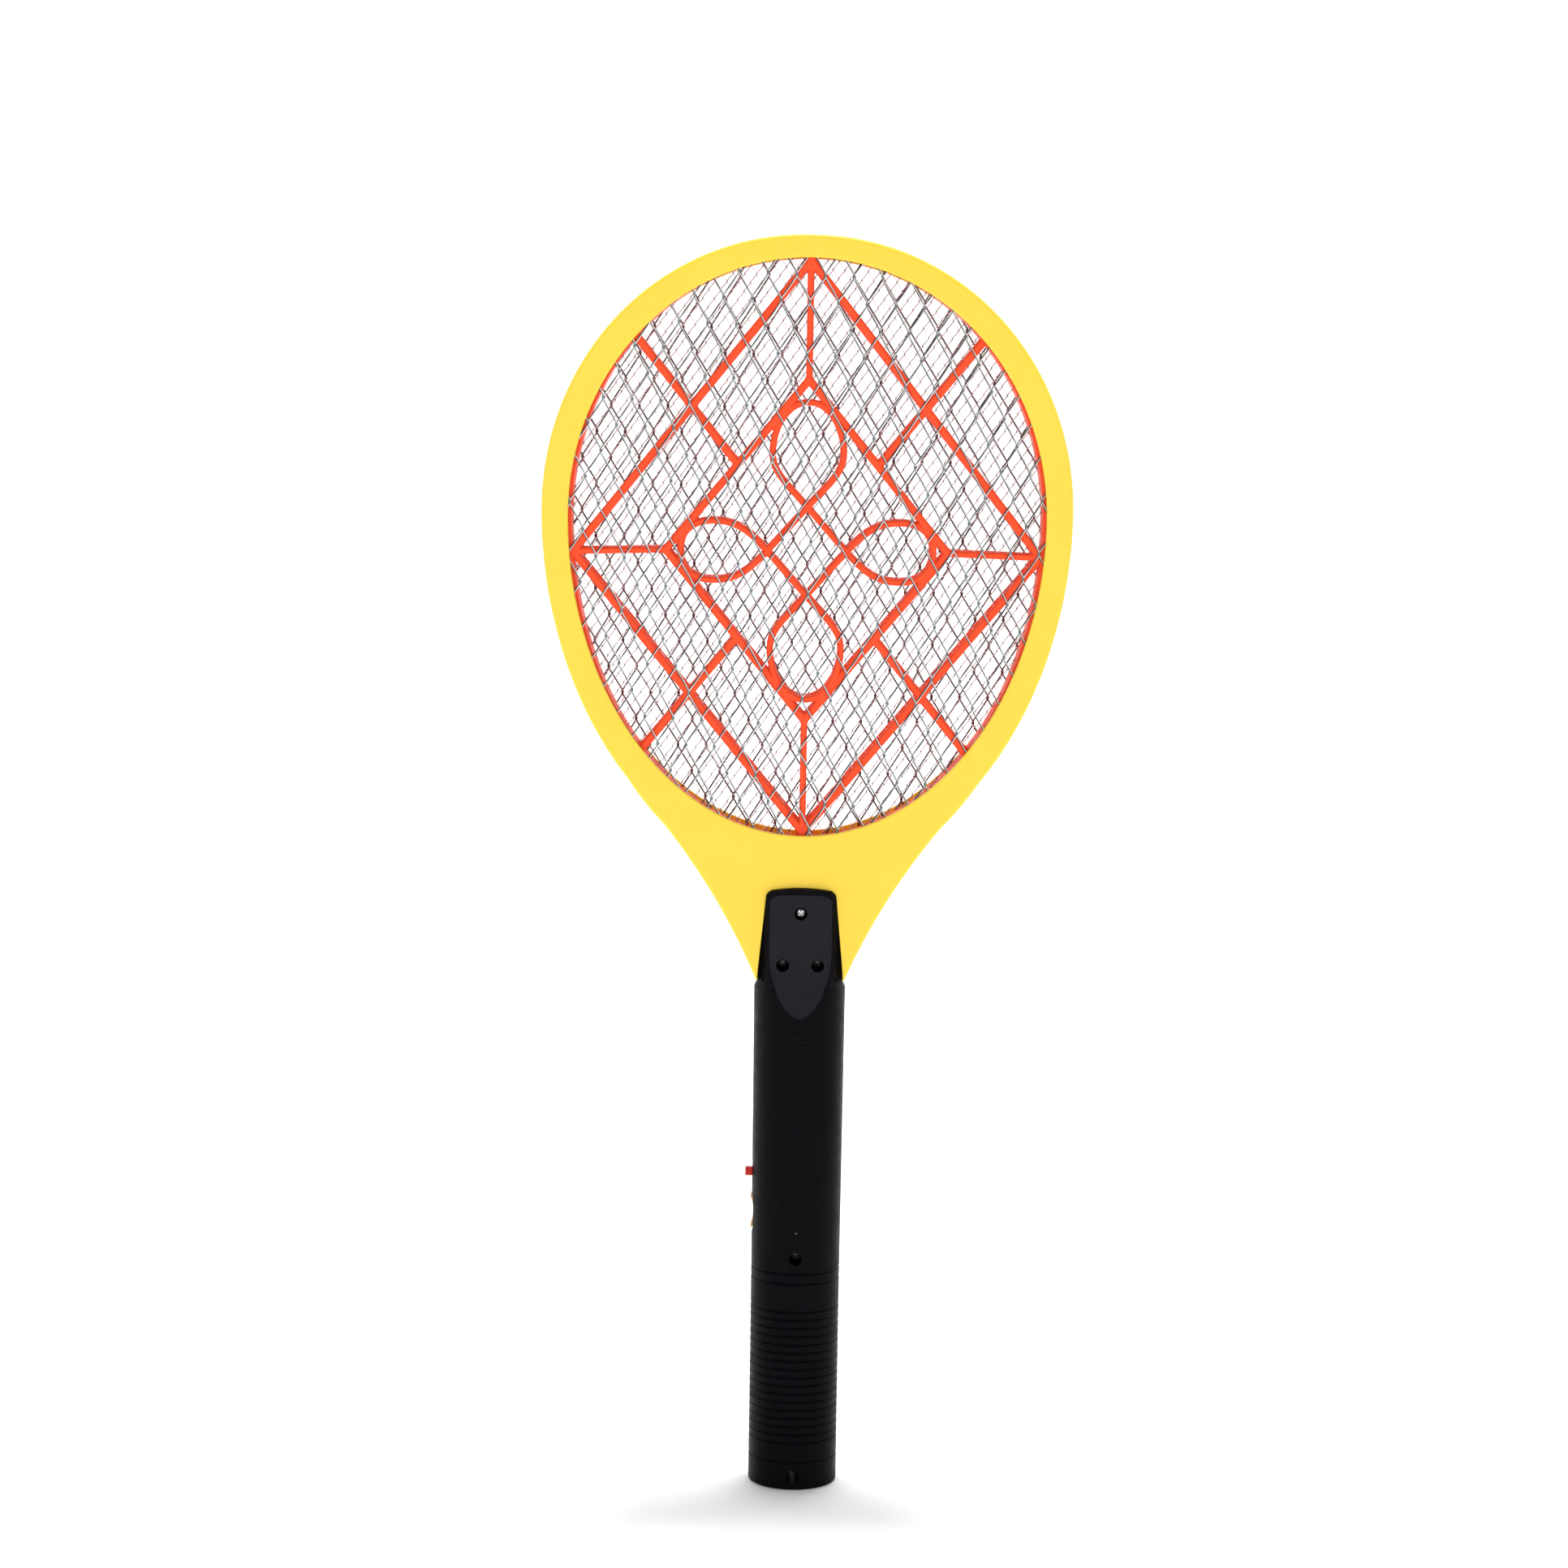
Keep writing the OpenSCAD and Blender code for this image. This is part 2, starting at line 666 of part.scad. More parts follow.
module rear_handle_shell() color("#17161a")
    difference() {
        shell_half();
        on_rear(0, top_screw_z, tongue_d - eps) cylinder(r = passage_r, h = 12);
        on_rear(0, top_screw_z, top_head_d) cylinder(r = counterbore_r, h = 12);
        for (s = [-1, 1])
            on_rear(s * low_screw_x, low_screw_z, tongue_d - eps) cylinder(r = counterbore_r, h = 12);
        on_rear(0, grip_screw_z, 0) cylinder(r = passage_r, h = 20);
        on_rear(0, grip_screw_z, grip_head_d) cylinder(r = counterbore_r, h = 12);
        on_rear(0, strap_z, 0) cylinder(r = strap_r, h = 20);
        on_rear(0, led_z, 12) cylinder(r = led_hole_r, h = 8);
    }

module front_handle_shell() color("#17161a")
    difference() {
        union() {
            to_front() shell_half();
            for (z = board_ribs) intersection() {
                translate([-11, board_y + board_t + 0.2, z]) cube([22, 20, rib_t]);
                cylinder(r = shoulder_r - 1, h = shoulder_z);
            }
            intersection() {
                translate([-channel_half_w - 2, channel_floor - channel_skin, base_wall])
                    cube([2 * channel_half_w + 4, 4, slider_z + slider_len]);
                cylinder(r = base_r - 1, h = shoulder_z);
            }
        }
        neck_screw_spots() on_rear(0, 0, -neck_tip_d - 0.6) cylinder(r = pilot_r, h = 10);
        on_rear(0, grip_screw_z, -grip_tip_d - 0.6) cylinder(r = pilot_r, h = 10);
        on_rear(0, strap_z, -20) cylinder(r = strap_r, h = 21);
        slider_channel();
    }

// the recess that the slider's thumb pad runs in, and the slot in its floor
module slider_channel() {
    low = slider_z - plug_travel - slider_gap;
    high = slider_z + slider_len + slider_gap;
    stem_z = slider_z + slider_len / 2 - slider_stem_w / 2;
    translate([-channel_half_w, channel_floor, low]) cube([2 * channel_half_w, 5, high - low]);
    translate([-slider_stem_w / 2 - slider_gap, 5, stem_z - plug_travel - slider_gap])
        cube([slider_stem_w + 2 * slider_gap, 15, plug_travel + slider_stem_w + 2 * slider_gap]);
}

// ======== screws ========

// a cross-head screw along Z, with the underside of its head at the origin
module screw(length) {
    difference() {
        union() {
            cylinder(r = screw_head_r, h = screw_head_h * 0.6);
            translate([0, 0, screw_head_h * 0.6])
                cylinder(r1 = screw_head_r, r2 = screw_head_r * 0.6, h = screw_head_h * 0.4);
        }
        for (turn = [0, 90]) rotate(turn) translate([-1.4, -0.35, screw_head_h - 1.1]) cube([2.8, 0.7, 2]);
    }
    translate([0, 0, 1 - length]) cylinder(r = screw_r, h = length - 1);
    translate([0, 0, -length]) cylinder(r1 = screw_r * 0.4, r2 = screw_r, h = 1);
}

module neck_screws() color("silver") {
    on_rear(0, top_screw_z, top_head_d) screw(top_head_d + neck_tip_d);
    for (s = [-1, 1])
        on_rear(s * low_screw_x, low_screw_z, low_head_d) screw(low_head_d + neck_tip_d);
}

module handle_screw() color("silver")
    on_rear(0, grip_screw_z, grip_head_d) screw(grip_head_d + grip_tip_d);

// ======== slide switch ========

module slide_switch_knob() color("#c8231a") {
    neck = 1.6;    // thickness of the tongue that enters the switch
    translate([-knob_tip, -knob_w / 2, switch_z - knob_h / 2])
        cube([knob_tip - switch_face - knob_gap, knob_w, knob_h]);
    translate([-switch_face - knob_gap - eps, -neck / 2, switch_z - neck / 2])
        cube([eps + switch_pocket, neck, neck]);
}

module slide_switch_body() color("#b8bcc0")
    difference() {
        slot_w = 2.2;
        translate([-switch_face, -switch_w / 2, switch_z + switch_travel / 2 - switch_len / 2])
            cube([switch_depth, switch_w, switch_len]);
        translate([-switch_face - eps, -slot_w / 2, switch_z - slot_w / 2 - 0.1])
            cube([switch_pocket + eps, slot_w, switch_travel + slot_w + 0.2]);
    }

// a flat terminal that runs back from y and through the board
module terminal(x, y, z, w, grow = 0)
    translate([x - terminal_t / 2 - grow, y, z - w / 2 - grow])
        cube([terminal_t + 2 * grow, board_y + board_t + terminal_proud - y, w + 2 * grow]);

module switch_terminal_row(grow = 0)
    for (i = [-1 : 1]) let (z = switch_z + switch_travel / 2 + 2.5 * i)
        terminal(-switch_face + switch_depth - 0.75, switch_w / 2, z, 0.8, grow);

module slide_switch_terminals() color("silver") switch_terminal_row();

// ======== push button ========

module push_button_cap() color("#e8a81e") {
    difference() {
        translate([-button_tip, -button_w / 2, button_z - button_len / 2])
            cube([button_tip - flange_face + eps, button_w, button_len]);
        translate([-button_tip + 1 - button_sag_r, 10, button_z]) rotate([90, 0, 0])
            cylinder(r = button_sag_r, h = 20, $fn = 128);
    }
    translate([-flange_face, -button_w / 2 - flange_extra, button_z - button_len / 2 - flange_extra])
        cube([flange_t, button_w + 2 * flange_extra, button_len + 2 * flange_extra]);
}

module button_switch_stem() color("#222222")
    translate([-flange_face + flange_t, 0, button_z]) rotate([0, 90, 0])
        cylinder(r = stem_r, h = flange_face - flange_t - stem_end);

module button_switch_body() color("#30302e")
    difference() {
        translate([-tact_face, -tact_size / 2, button_z - tact_size / 2])
            cube([tact_depth, tact_size, tact_size]);
        translate([-tact_face - eps, 0, button_z]) rotate([0, 90, 0])
            cylinder(r = stem_bore_r, h = eps + tact_face - stem_end + button_travel + 0.4);
    }

module button_terminal_row(grow = 0) for (s = [-1, 1], x = [1, 2.6])
    terminal(-tact_face + x, tact_size / 2, button_z + s * 2.2, 0.6, grow);

module button_switch_terminals() color("silver") button_terminal_row();

// ======== circuit ========

// every round lead's place on the board, in X and Z
lead_spots = concat(
    [for (p = concat(diode_spots, resistor_spots), s = [-1, 1]) [p.x, p.y + s * p.z / 2]],
    [for (p = [reservoir_spot, charging_spot], s = [-1, 1]) [p.x, p.y + s * p.z / 2]],
    [for (i = [-1 : 1], s = [-1, 1]) [i * winding_leads.x, transformer_z + s * winding_leads.y]],
    [for (i = [-1 : 1]) [transistor_spot.x + i * transistor_pitch, transistor_spot.y]]);

module circuit_board() color("#8a6a35")
    difference() {
        translate([board_left, board_y, board_z[0]])
            cube([board_right - board_left, board_t, board_z[1] - board_z[0]]);
        for (p = lead_spots)
            on_rear(p.x, p.y, -board_y - board_t - eps)
                cylinder(r = lead_r + lead_play, h = board_t + 2 * eps);
        switch_terminal_row(lead_play);
        button_terminal_row(lead_play);
    }

module indicator_led() color("#b02020") {
    on_rear(0, led_z, led_tip_d - 4) {
        cylinder(r = led_r, h = 4 - led_r);
        translate([0, 0, 4 - led_r]) sphere(r = led_r);
        cylinder(r = led_r + 0.35, h = 0.9);
    }
    for (s = [-1, 1]) rod([s * 0.8, -led_tip_d + 4, led_z], [s * 0.8, board_y, led_z], 0.25);
}

module transformer_core() color("#3a3a3e")
    translate([0, transformer_y, transformer_z]) difference() {
        cube([16, 5, 14], center = true);
        for (s = [-1, 1]) translate([s * 4, 0, 0]) cube([4.1, 6, 9], center = true);
    }

module transformer_winding() color("#c87a2a")
    translate([0, transformer_y, transformer_z]) {
        difference() {
            cube(winding_size, center = true);
            cube([4.1, 5.2, 10], center = true);
        }
        for (i = [-1 : 1], s = [-1, 1]) let (x = i * winding_leads.x, z = s * winding_leads.y)
            rod([x, winding_size.y / 2, z], [x, board_y + board_t + lead_proud - transformer_y, z], lead_r);
    }

// a film capacitor on the board: size is across, deep and tall, and a spot holds X, Z and lead spacing
module film_capacitor(spot, size) {
    translate([spot.x - size.x / 2, board_y - size.y - part_gap, spot.y - size.z / 2]) cube(size);
    for (s = [-1, 1]) let (z = spot.y + s * spot.z / 2)
        rod([spot.x, board_y - part_gap - 0.1, z], [spot.x, board_y + board_t + lead_proud, z], lead_r);
}

module reservoir_capacitor() color("#a8442a") film_capacitor(reservoir_spot, [6.8, 11.5, 15]);

module charging_capacitor() color("#d8a020") film_capacitor(charging_spot, [5.4, 9, 12]);

module oscillator_transistor() color("#202022")
    on_rear(transistor_spot.x, transistor_spot.y, transistor_lift - board_y) {
        difference() {
            cylinder(r = 2.4, h = 4.6);
            translate([-3, 1, -1]) cube([6, 3, 7]);
        }
        tail = transistor_lift + board_t + lead_proud;
        for (i = [-1 : 1])
            translate([i * transistor_pitch, 0, -tail]) cylinder(r = 0.22, h = tail + 0.1, $fn = 16);
    }

// a small part lying along Z on the board, with its two bent leads; a spot holds X, Z and lead spacing
module axial_part(spot, r, length) {
    y = board_y - r - part_gap;
    reach = spot.z / 2;
    translate([spot.x, y, spot.y - length / 2]) cylinder(r = r, h = length, $fn = 24);
    rod([spot.x, y, spot.y - reach - 0.15], [spot.x, y, spot.y + reach + 0.15], lead_r - 0.05);
    for (s = [-1, 1]) let (z = spot.y + s * reach)
        rod([spot.x, y - lead_r, z], [spot.x, board_y + board_t + lead_proud, z], lead_r);
}

module rectifier_diodes() color("#1c1c1e") for (spot = diode_spots) axial_part(spot, 1.3, 4.6);

module resistors() color("#c8a878") for (spot = resistor_spots) axial_part(spot, 1.15, 5.6);

// rear net, inner net and front net, in that order
module net_leads() color("#b02020") {
    wire([[-4, board_y - 0.6, 167], [-1.6, 1, 177], [-1.6, 0, 205], [-5.6, 0, 212], [-5.6, 0, 232],
          [-5, -outer_net_d + 0.6, 240]], 0.5);
    wire([[0, board_y - 0.6, 167], [0, 1, 177], [0, 0, 205], [4.8, 0, 212],
          [4.8, 0, 230], [0, 0.9, 240]], 0.5);
    wire([[4, board_y - 0.6, 167], [1.6, 1, 177], [1.6, 0, 204], [6.3, 0, 211], [6.3, 0, 232],
          [5, outer_net_d - 0.6, 240]], 0.5);
}

// ======== battery ========

module battery_cells() color("#3f8f4f") for (s = [-1, 1]) translate([s * cell_x, 0, cell_z]) {
    cylinder(r = cell_r, h = cell_len - 1);
    cylinder(r = 2.6, h = cell_len);
}

module battery_link() color("silver") translate([-10, -2, cell_z - 0.3]) cube([20, 4, 0.3]);

module battery_leads() color("#252525") for (s = [-1, 1])
    wire([[s * cell_x, 0, cell_z + cell_len + 0.4], [s * 7, -2, 78], [s * 8.2, -2, 84], [s * 8.2, -2, 92.5],
          [s * 4, board_y - 0.6, 97]], 0.4);

// ======== charging plug ========

module plug_carrier() color("#1e1e20")
    difference() {
        translate([-carrier_size.x / 2, -carrier_size.y / 2, carrier_z]) cube(carrier_size);
        for (s = [-1, 1])
            translate([s * pin_spacing / 2, 0, carrier_z - 1])
                cylinder(r = pin_r + 0.02, h = carrier_size.z + 2);
    }

module plug_pins() color("#cdb35a") for (s = [-1, 1]) translate([s * pin_spacing / 2, 0, pin_tip_z]) {
    cylinder(r1 = pin_r * 0.55, r2 = pin_r, h = 1.4);
    translate([0, 0, 1.4]) cylinder(r = pin_r, h = carrier_z + carrier_size.z - pin_tip_z - 1.4);
}

module plug_wipers() color("#b8863a") for (s = [-1, 1])
    translate([s * (pin_spacing / 2 + 1.75) - 1.75, -1.5, carrier_z + carrier_size.z]) cube([3.5, 3, 0.5]);

module plug_slider() color("#1e1e20") {
    stem_z = slider_z + slider_len / 2 - slider_stem_w / 2;
    translate([-slider_stem_w / 2, carrier_size.y / 2, stem_z])
        cube([slider_stem_w, slider_top - carrier_size.y / 2 - 1, slider_stem_w]);
    difference() {
        translate([-channel_half_w + slider_gap, channel_floor + 0.25, slider_z])
            cube([2 * (channel_half_w - slider_gap), slider_top - channel_floor - 0.25, slider_len]);
        for (i = [0 : 4]) translate([-5, slider_top, slider_z + 1.3 + 1.6 * i]) rotate([0, 90, 0])
            cylinder(r = 0.4, h = 10, $fn = 20);
    }
}

module charging_strips() color("#b8863a") for (s = [-1, 1])
    translate([s * (strip_x + strip_t / 2) - strip_t / 2, -2, strip_z[0]])
        cube([strip_t, 4, strip_z[1] - strip_z[0]]);

module charging_leads() color("#8a2020") for (s = [-1, 1])
    wire([[s * (strip_x - 0.4), -2.3, strip_z[1] - 2.4], [s * 9, -7.5, 39.8], [s * 6.2, -9.6, 44],
          [s * 6.2, -9.6, 87], [s * 6.2, -8, 92], [s * 6.2, -3.5, 95.5],
          [s * 6.2, board_y - 0.5, 96.5]], 0.4);

rear_head_frame();
front_head_frame();
rear_outer_net();
rear_grille();
inner_net();
front_grille();
front_outer_net();
rear_handle_shell();
front_handle_shell();
neck_screws();
handle_screw();
slide_switch_knob();
slide_switch_body();
slide_switch_terminals();
push_button_cap();
button_switch_stem();
button_switch_body();
button_switch_terminals();
circuit_board();
indicator_led();
transformer_core();
transformer_winding();
reservoir_capacitor();
charging_capacitor();
oscillator_transistor();
rectifier_diodes();
resistors();
net_leads();
battery_cells();
battery_link();
battery_leads();
plug_carrier();
plug_pins();
plug_wipers();
plug_slider();
charging_strips();
charging_leads();
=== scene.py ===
"""The looks of the electric fly swatter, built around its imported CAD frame.

Shapes are worked out in millimetres in the frame's own axes and scaled to metres as each mesh is made.
X runs across the head and Z up the handle. A depth is measured from the middle plane of the head,
towards -Y on the rear half, where the screws are, and towards +Y on the front half.
"""
import json
import math

import bmesh
import bpy
import numpy as np
from mathutils import Euler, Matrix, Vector


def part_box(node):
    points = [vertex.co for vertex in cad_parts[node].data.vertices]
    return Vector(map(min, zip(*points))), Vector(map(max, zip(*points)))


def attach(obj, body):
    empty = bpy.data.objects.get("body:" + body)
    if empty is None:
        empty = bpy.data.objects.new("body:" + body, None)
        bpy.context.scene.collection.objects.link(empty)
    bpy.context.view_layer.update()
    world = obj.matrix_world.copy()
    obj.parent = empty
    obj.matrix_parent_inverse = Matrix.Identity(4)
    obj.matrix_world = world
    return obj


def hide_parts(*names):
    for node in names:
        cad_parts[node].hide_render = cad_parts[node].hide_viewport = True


MM = 0.001
REAR = -1      # the sign of Y on the half that faces the camera
FRONT = 1

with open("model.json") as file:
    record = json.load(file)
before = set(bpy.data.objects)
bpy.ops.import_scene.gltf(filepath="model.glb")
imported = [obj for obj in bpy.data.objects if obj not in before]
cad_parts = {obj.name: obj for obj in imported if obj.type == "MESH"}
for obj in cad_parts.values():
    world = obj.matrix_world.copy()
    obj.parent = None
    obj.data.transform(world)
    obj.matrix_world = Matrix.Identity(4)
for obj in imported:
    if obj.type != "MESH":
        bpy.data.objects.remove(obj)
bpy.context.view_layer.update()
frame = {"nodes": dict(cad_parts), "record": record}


# ======== the head's sizes, in millimetres, as in the CAD ========

HEAD_HALF_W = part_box("rear_head_frame")[1].x / MM
HEAD_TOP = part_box("rear_head_frame")[1].z / MM
HEAD_HALF_T = -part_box("rear_head_frame")[0].y / MM
HEAD_Z = 367            # height of the head's widest level
HEAD_RISE = HEAD_TOP - HEAD_Z
HEAD_DROP = 134.6
RISE_POWER = 2.03       # fullness of the half-ovals; 2 is an ellipse
DROP_POWER = 1.96
DROP_END = 48.6         # degrees where the lower half-oval runs out into the flare
FLARE_RUN = 20.4
FLARE_HEADING = 129
FLARE_R = 244
FLARE_SWEEP = 16
NECK_FOOT_Z = 192.1

OPENING_Z = 365.1
OPENING_HALF_W = 87.9
OPENING_RISE = 94.7
OPENING_DROP = 117.7
LIP_DEPTH = HEAD_HALF_T - 2
SEAT_GROW = 4.4         # how far the nets' seat lies outside the opening
SEAM = 0.06             # half of the gap between the two halves of the head

TONGUE_TOP_Z = 227
SHOULDER_Z = 192
TONGUE_TIP_W = 12.9
TONGUE_FOOT_W = 16.05
TONGUE_CORNER = 3
TONGUE_ARCH = 0.8
BED_DEPTH = 5.6
BED_GAP = 0.25
LOW_SCREW_AT = (6.5, 199.2)
LOW_HEAD_DEPTH = 3.4
PLATE_DEPTH = 12.2
PLATE_FOOT_Z = 179.9
PLATE_RIM = 1.5         # width of the black border above the plate
PLATE_CORNER_W = 12.3   # half width at which the plate's upper corners have dropped by PLATE_CORNER_DROP
PLATE_CORNER_DROP = 3.2
PLATE_CORNER_POWER = 7  # sharpness of those corners
LEVEL_ENOUGH = 0.03     # how far a face's normal may turn sideways and still be the plate's
COUNTERBORE_R = 2.4


# ======== meshes ========

def piece(name, points, faces, sharp_angle=38, normals=None):
    """A mesh object from points in millimetres. Edges that turn more than sharp_angle degrees stay crisp."""
    mesh = bpy.data.meshes.new(name)
    mesh.from_pydata((np.asarray(points, float) * MM).tolist(), [], [tuple(f) for f in faces])
    mesh.validate()
    if normals is None:
        face_outwards(mesh)
    obj = bpy.data.objects.new(name, mesh)
    bpy.context.scene.collection.objects.link(obj)
    shade(mesh, sharp_angle)
    if normals is not None:
        mesh.normals_split_custom_set_from_vertices(np.asarray(normals, float).tolist())
    return obj


def face_outwards(mesh):
    bm = bmesh.new()
    bm.from_mesh(mesh)
    bmesh.ops.recalc_face_normals(bm, faces=bm.faces)
    bm.to_mesh(mesh)
    bm.free()


def shade(mesh, sharp_angle):
    mesh.shade_smooth()
    mesh.set_sharp_from_angle(angle=math.radians(sharp_angle))


def ring_tube(rings):
    """Points and faces of a closed surface through rings of equally many points, each closed on itself."""
    count, n = len(rings), len(rings[0])
    points = np.concatenate(rings)
    faces = []
    for k in range(count):
        a, b = k * n, (k + 1) % count * n
        for i in range(n):
            j = (i + 1) % n
            faces.append((a + i, a + j, b + j, b + i))
    return points, faces


def prism(name, outline, low, high, side):
    """A solid with an X-Z outline, between two depths on one side."""
    n = len(outline)
    points = [(x, side * d, z) for d in (low, high) for x, z in outline]
    faces = [tuple(range(n)), tuple(range(2 * n - 1, n - 1, -1))]
    faces += [(i, (i + 1) % n, n + (i + 1) % n, n + i) for i in range(n)]
    return piece(name, points, faces)


def circle_outline(x, z, r, sides=48):
    turns = np.linspace(0, 2 * math.pi, sides, endpoint=False)
    return [(x + r * math.cos(a), z + r * math.sin(a)) for a in turns]


def settle(obj):
    """Puts the result of an object's modifiers into its mesh."""
    depsgraph = bpy.context.evaluated_depsgraph_get()
    mesh = bpy.data.meshes.new_from_object(obj.evaluated_get(depsgraph))
    obj.modifiers.clear()
    obj.data = mesh


def cut(obj, cutters, sharp_angle=38):
    for cutter in cutters:
        step = obj.modifiers.new("cut", "BOOLEAN")
        step.operation = "DIFFERENCE"
        step.solver = "EXACT"
        step.object = cutter
    settle(obj)
    for cutter in cutters:
        bpy.data.objects.remove(cutter)
    shade(obj.data, sharp_angle)


def finish_piece(obj, body, slot, look, *stands_for):
    obj.data.materials.clear()
    obj.data.materials.append(look)
    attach(obj, body)
    if stands_for:
        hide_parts(*stands_for)
    return obj


# ======== materials ========

def node_at(tree, kind, x, y, **settings):
    node = tree.nodes.new(kind)
    node.location = (x, y)
    for key, value in settings.items():
        setattr(node, key, value)
    return node


def noise(tree, size, detail=3, stretch=(1, 1, 1), x=-900, y=0):
    """3D noise whose features are about size millimetres across, stretched along the axes as given."""
    coords = node_at(tree, "ShaderNodeTexCoord", x - 400, y)
    mapping = node_at(tree, "ShaderNodeMapping", x - 200, y)
    mapping.inputs["Scale"].default_value = [1 / (size * MM * s) for s in stretch]
    texture = node_at(tree, "ShaderNodeTexNoise", x, y)
    texture.inputs["Scale"].default_value = 1
    texture.inputs["Detail"].default_value = detail
    tree.links.new(coords.outputs["Object"], mapping.inputs["Vector"])
    tree.links.new(mapping.outputs["Vector"], texture.inputs["Vector"])
    return texture.outputs["Fac"]


def spread(tree, source, low, high, inner=(0.35, 0.65), x=-500, y=0):
    """Maps the middle of a noise's range onto low to high."""
    remap = node_at(tree, "ShaderNodeMapRange", x, y)
    remap.inputs["From Min"].default_value = inner[0]
    remap.inputs["From Max"].default_value = inner[1]
    remap.inputs["To Min"].default_value = low
    remap.inputs["To Max"].default_value = high
    tree.links.new(source, remap.inputs["Value"])
    return remap.outputs["Result"]


def tint(tree, factor, dark, light, x=-300, y=200):
    mix = node_at(tree, "ShaderNodeMix", x, y, data_type="RGBA")
    mix.inputs["A"].default_value = (*dark, 1)
    mix.inputs["B"].default_value = (*light, 1)
    tree.links.new(factor, mix.inputs["Factor"])
    return mix.outputs["Result"]


def surface(name, colour, roughness, metallic=0.0, shift=0.04, patch=18, grain=0.5, grain_depth=0.004,
            stretch=(1, 1, 1), rough_shift=0.06, edge=0, **sockets):
    """A finish with patches of slightly different shade, uneven gloss and a fine grain; sizes in millimetres.

    Sharp edges are softened over the radius edge, if it isn't 0.
    """
    look = bpy.data.materials.new(name)
    look.use_nodes = True
    tree = look.node_tree
    shader = tree.nodes["Principled BSDF"]
    shader.inputs["Metallic"].default_value = metallic
    for key, value in sockets.items():
        shader.inputs[key.replace("_", " ")].default_value = value
    dark = [c * (1 - shift) for c in colour]
    light = [min(1, c * (1 + shift)) for c in colour]
    shade_of = spread(tree, noise(tree, patch, 2, y=300), 0, 1, y=300)
    tree.links.new(tint(tree, shade_of, dark, light), shader.inputs["Base Color"])
    blotches = noise(tree, patch / 4, 4, stretch, y=0)
    gloss = spread(tree, blotches, roughness - rough_shift, roughness + rough_shift)
    tree.links.new(gloss, shader.inputs["Roughness"])
    bump = node_at(tree, "ShaderNodeBump", -300, -300)
    bump.inputs["Strength"].default_value = 1
    bump.inputs["Distance"].default_value = grain_depth * MM
    tree.links.new(noise(tree, grain, 2, stretch, y=-300), bump.inputs["Height"])
    if edge:
        softened = node_at(tree, "ShaderNodeBevel", -500, -500, samples=4)
        softened.inputs["Radius"].default_value = edge * MM
        tree.links.new(softened.outputs["Normal"], bump.inputs["Normal"])
    tree.links.new(bump.outputs["Normal"], shader.inputs["Normal"])
    return look


LOOKS = {
    "yellow_plastic": surface("yellow_plastic", (0.92, 0.64, 0.053), 0.36, shift=0.012, patch=40,
                              grain=0.9, grain_depth=0.0015, edge=0.3, Specular_IOR_Level=0.3),
    "red_plastic": surface("red_plastic", (0.95, 0.082, 0.024), 0.42, shift=0.02, patch=25,
                           grain=0.8, grain_depth=0.002, Specular_IOR_Level=0.12),
    "outer_net_steel": surface("outer_net_steel", (0.72, 0.74, 0.75), 0.45, 0.1, shift=0.06, patch=6,
                               grain=0.3, grain_depth=0.006),
    "inner_net_steel": surface("inner_net_steel", (0.36, 0.17, 0.20), 0.45, 0.1, shift=0.2, patch=5,
                               grain=0.25, grain_depth=0.005),
    "black_plastic": surface("black_plastic", (0.0022, 0.0020, 0.0033), 0.40, shift=0.06, patch=22,
                             grain=0.35, grain_depth=0.003, edge=0.25, Specular_IOR_Level=0.035),
    "screw_steel": surface("screw_steel", (0.52, 0.52, 0.53), 0.30, 1.0, shift=0.05, patch=3,
                           grain=0.2, grain_depth=0.003),
    "switch_red": surface("switch_red", (0.50, 0.016, 0.010), 0.36, shift=0.05, patch=2,
                          grain=0.3, grain_depth=0.003, Specular_IOR_Level=0.15),
    "button_amber": surface("button_amber", (0.42, 0.21, 0.05), 0.34, shift=0.06, patch=4,
                            grain=0.3, grain_depth=0.003, Specular_IOR_Level=0.4),
    "switch_metal": surface("switch_metal", (0.60, 0.61, 0.62), 0.34, 1.0, grain=0.2, stretch=(1, 1, 8)),
    "switch_housing": surface("switch_housing", (0.03, 0.03, 0.03), 0.55),
    "terminal_tin": surface("terminal_tin", (0.70, 0.70, 0.70), 0.30, 1.0),
    "board_paper": surface("board_paper", (0.33, 0.18, 0.06), 0.60, grain=0.4, grain_depth=0.01),
    "led_red": surface("led_red", (0.64, 0.55, 0.57), 0.15, Specular_IOR_Level=0.6),
    "ferrite": surface("ferrite", (0.05, 0.05, 0.055), 0.65, grain=0.3, grain_depth=0.02),
    "copper_winding": surface("copper_winding", (0.55, 0.22, 0.06), 0.35, 0.8, grain=0.3,
                              grain_depth=0.02, stretch=(8, 8, 1)),
    "capacitor_brown": surface("capacitor_brown", (0.42, 0.10, 0.04), 0.35),
    "capacitor_yellow": surface("capacitor_yellow", (0.72, 0.42, 0.03), 0.40),
    "chip_black": surface("chip_black", (0.02, 0.02, 0.02), 0.60, grain=0.2, grain_depth=0.01),
    "resistor_tan": surface("resistor_tan", (0.55, 0.40, 0.22), 0.45),
    "wire_red": surface("wire_red", (0.45, 0.02, 0.02), 0.40),
    "wire_black": surface("wire_black", (0.02, 0.02, 0.02), 0.40),
    "cell_green": surface("cell_green", (0.06, 0.30, 0.12), 0.35),
    "nickel_strip": surface("nickel_strip", (0.68, 0.66, 0.60), 0.30, 1.0),
    "pin_brass": surface("pin_brass", (0.72, 0.60, 0.35), 0.25, 1.0, stretch=(1, 1, 6)),
    "contact_bronze": surface("contact_bronze", (0.60, 0.38, 0.16), 0.35, 1.0),
}
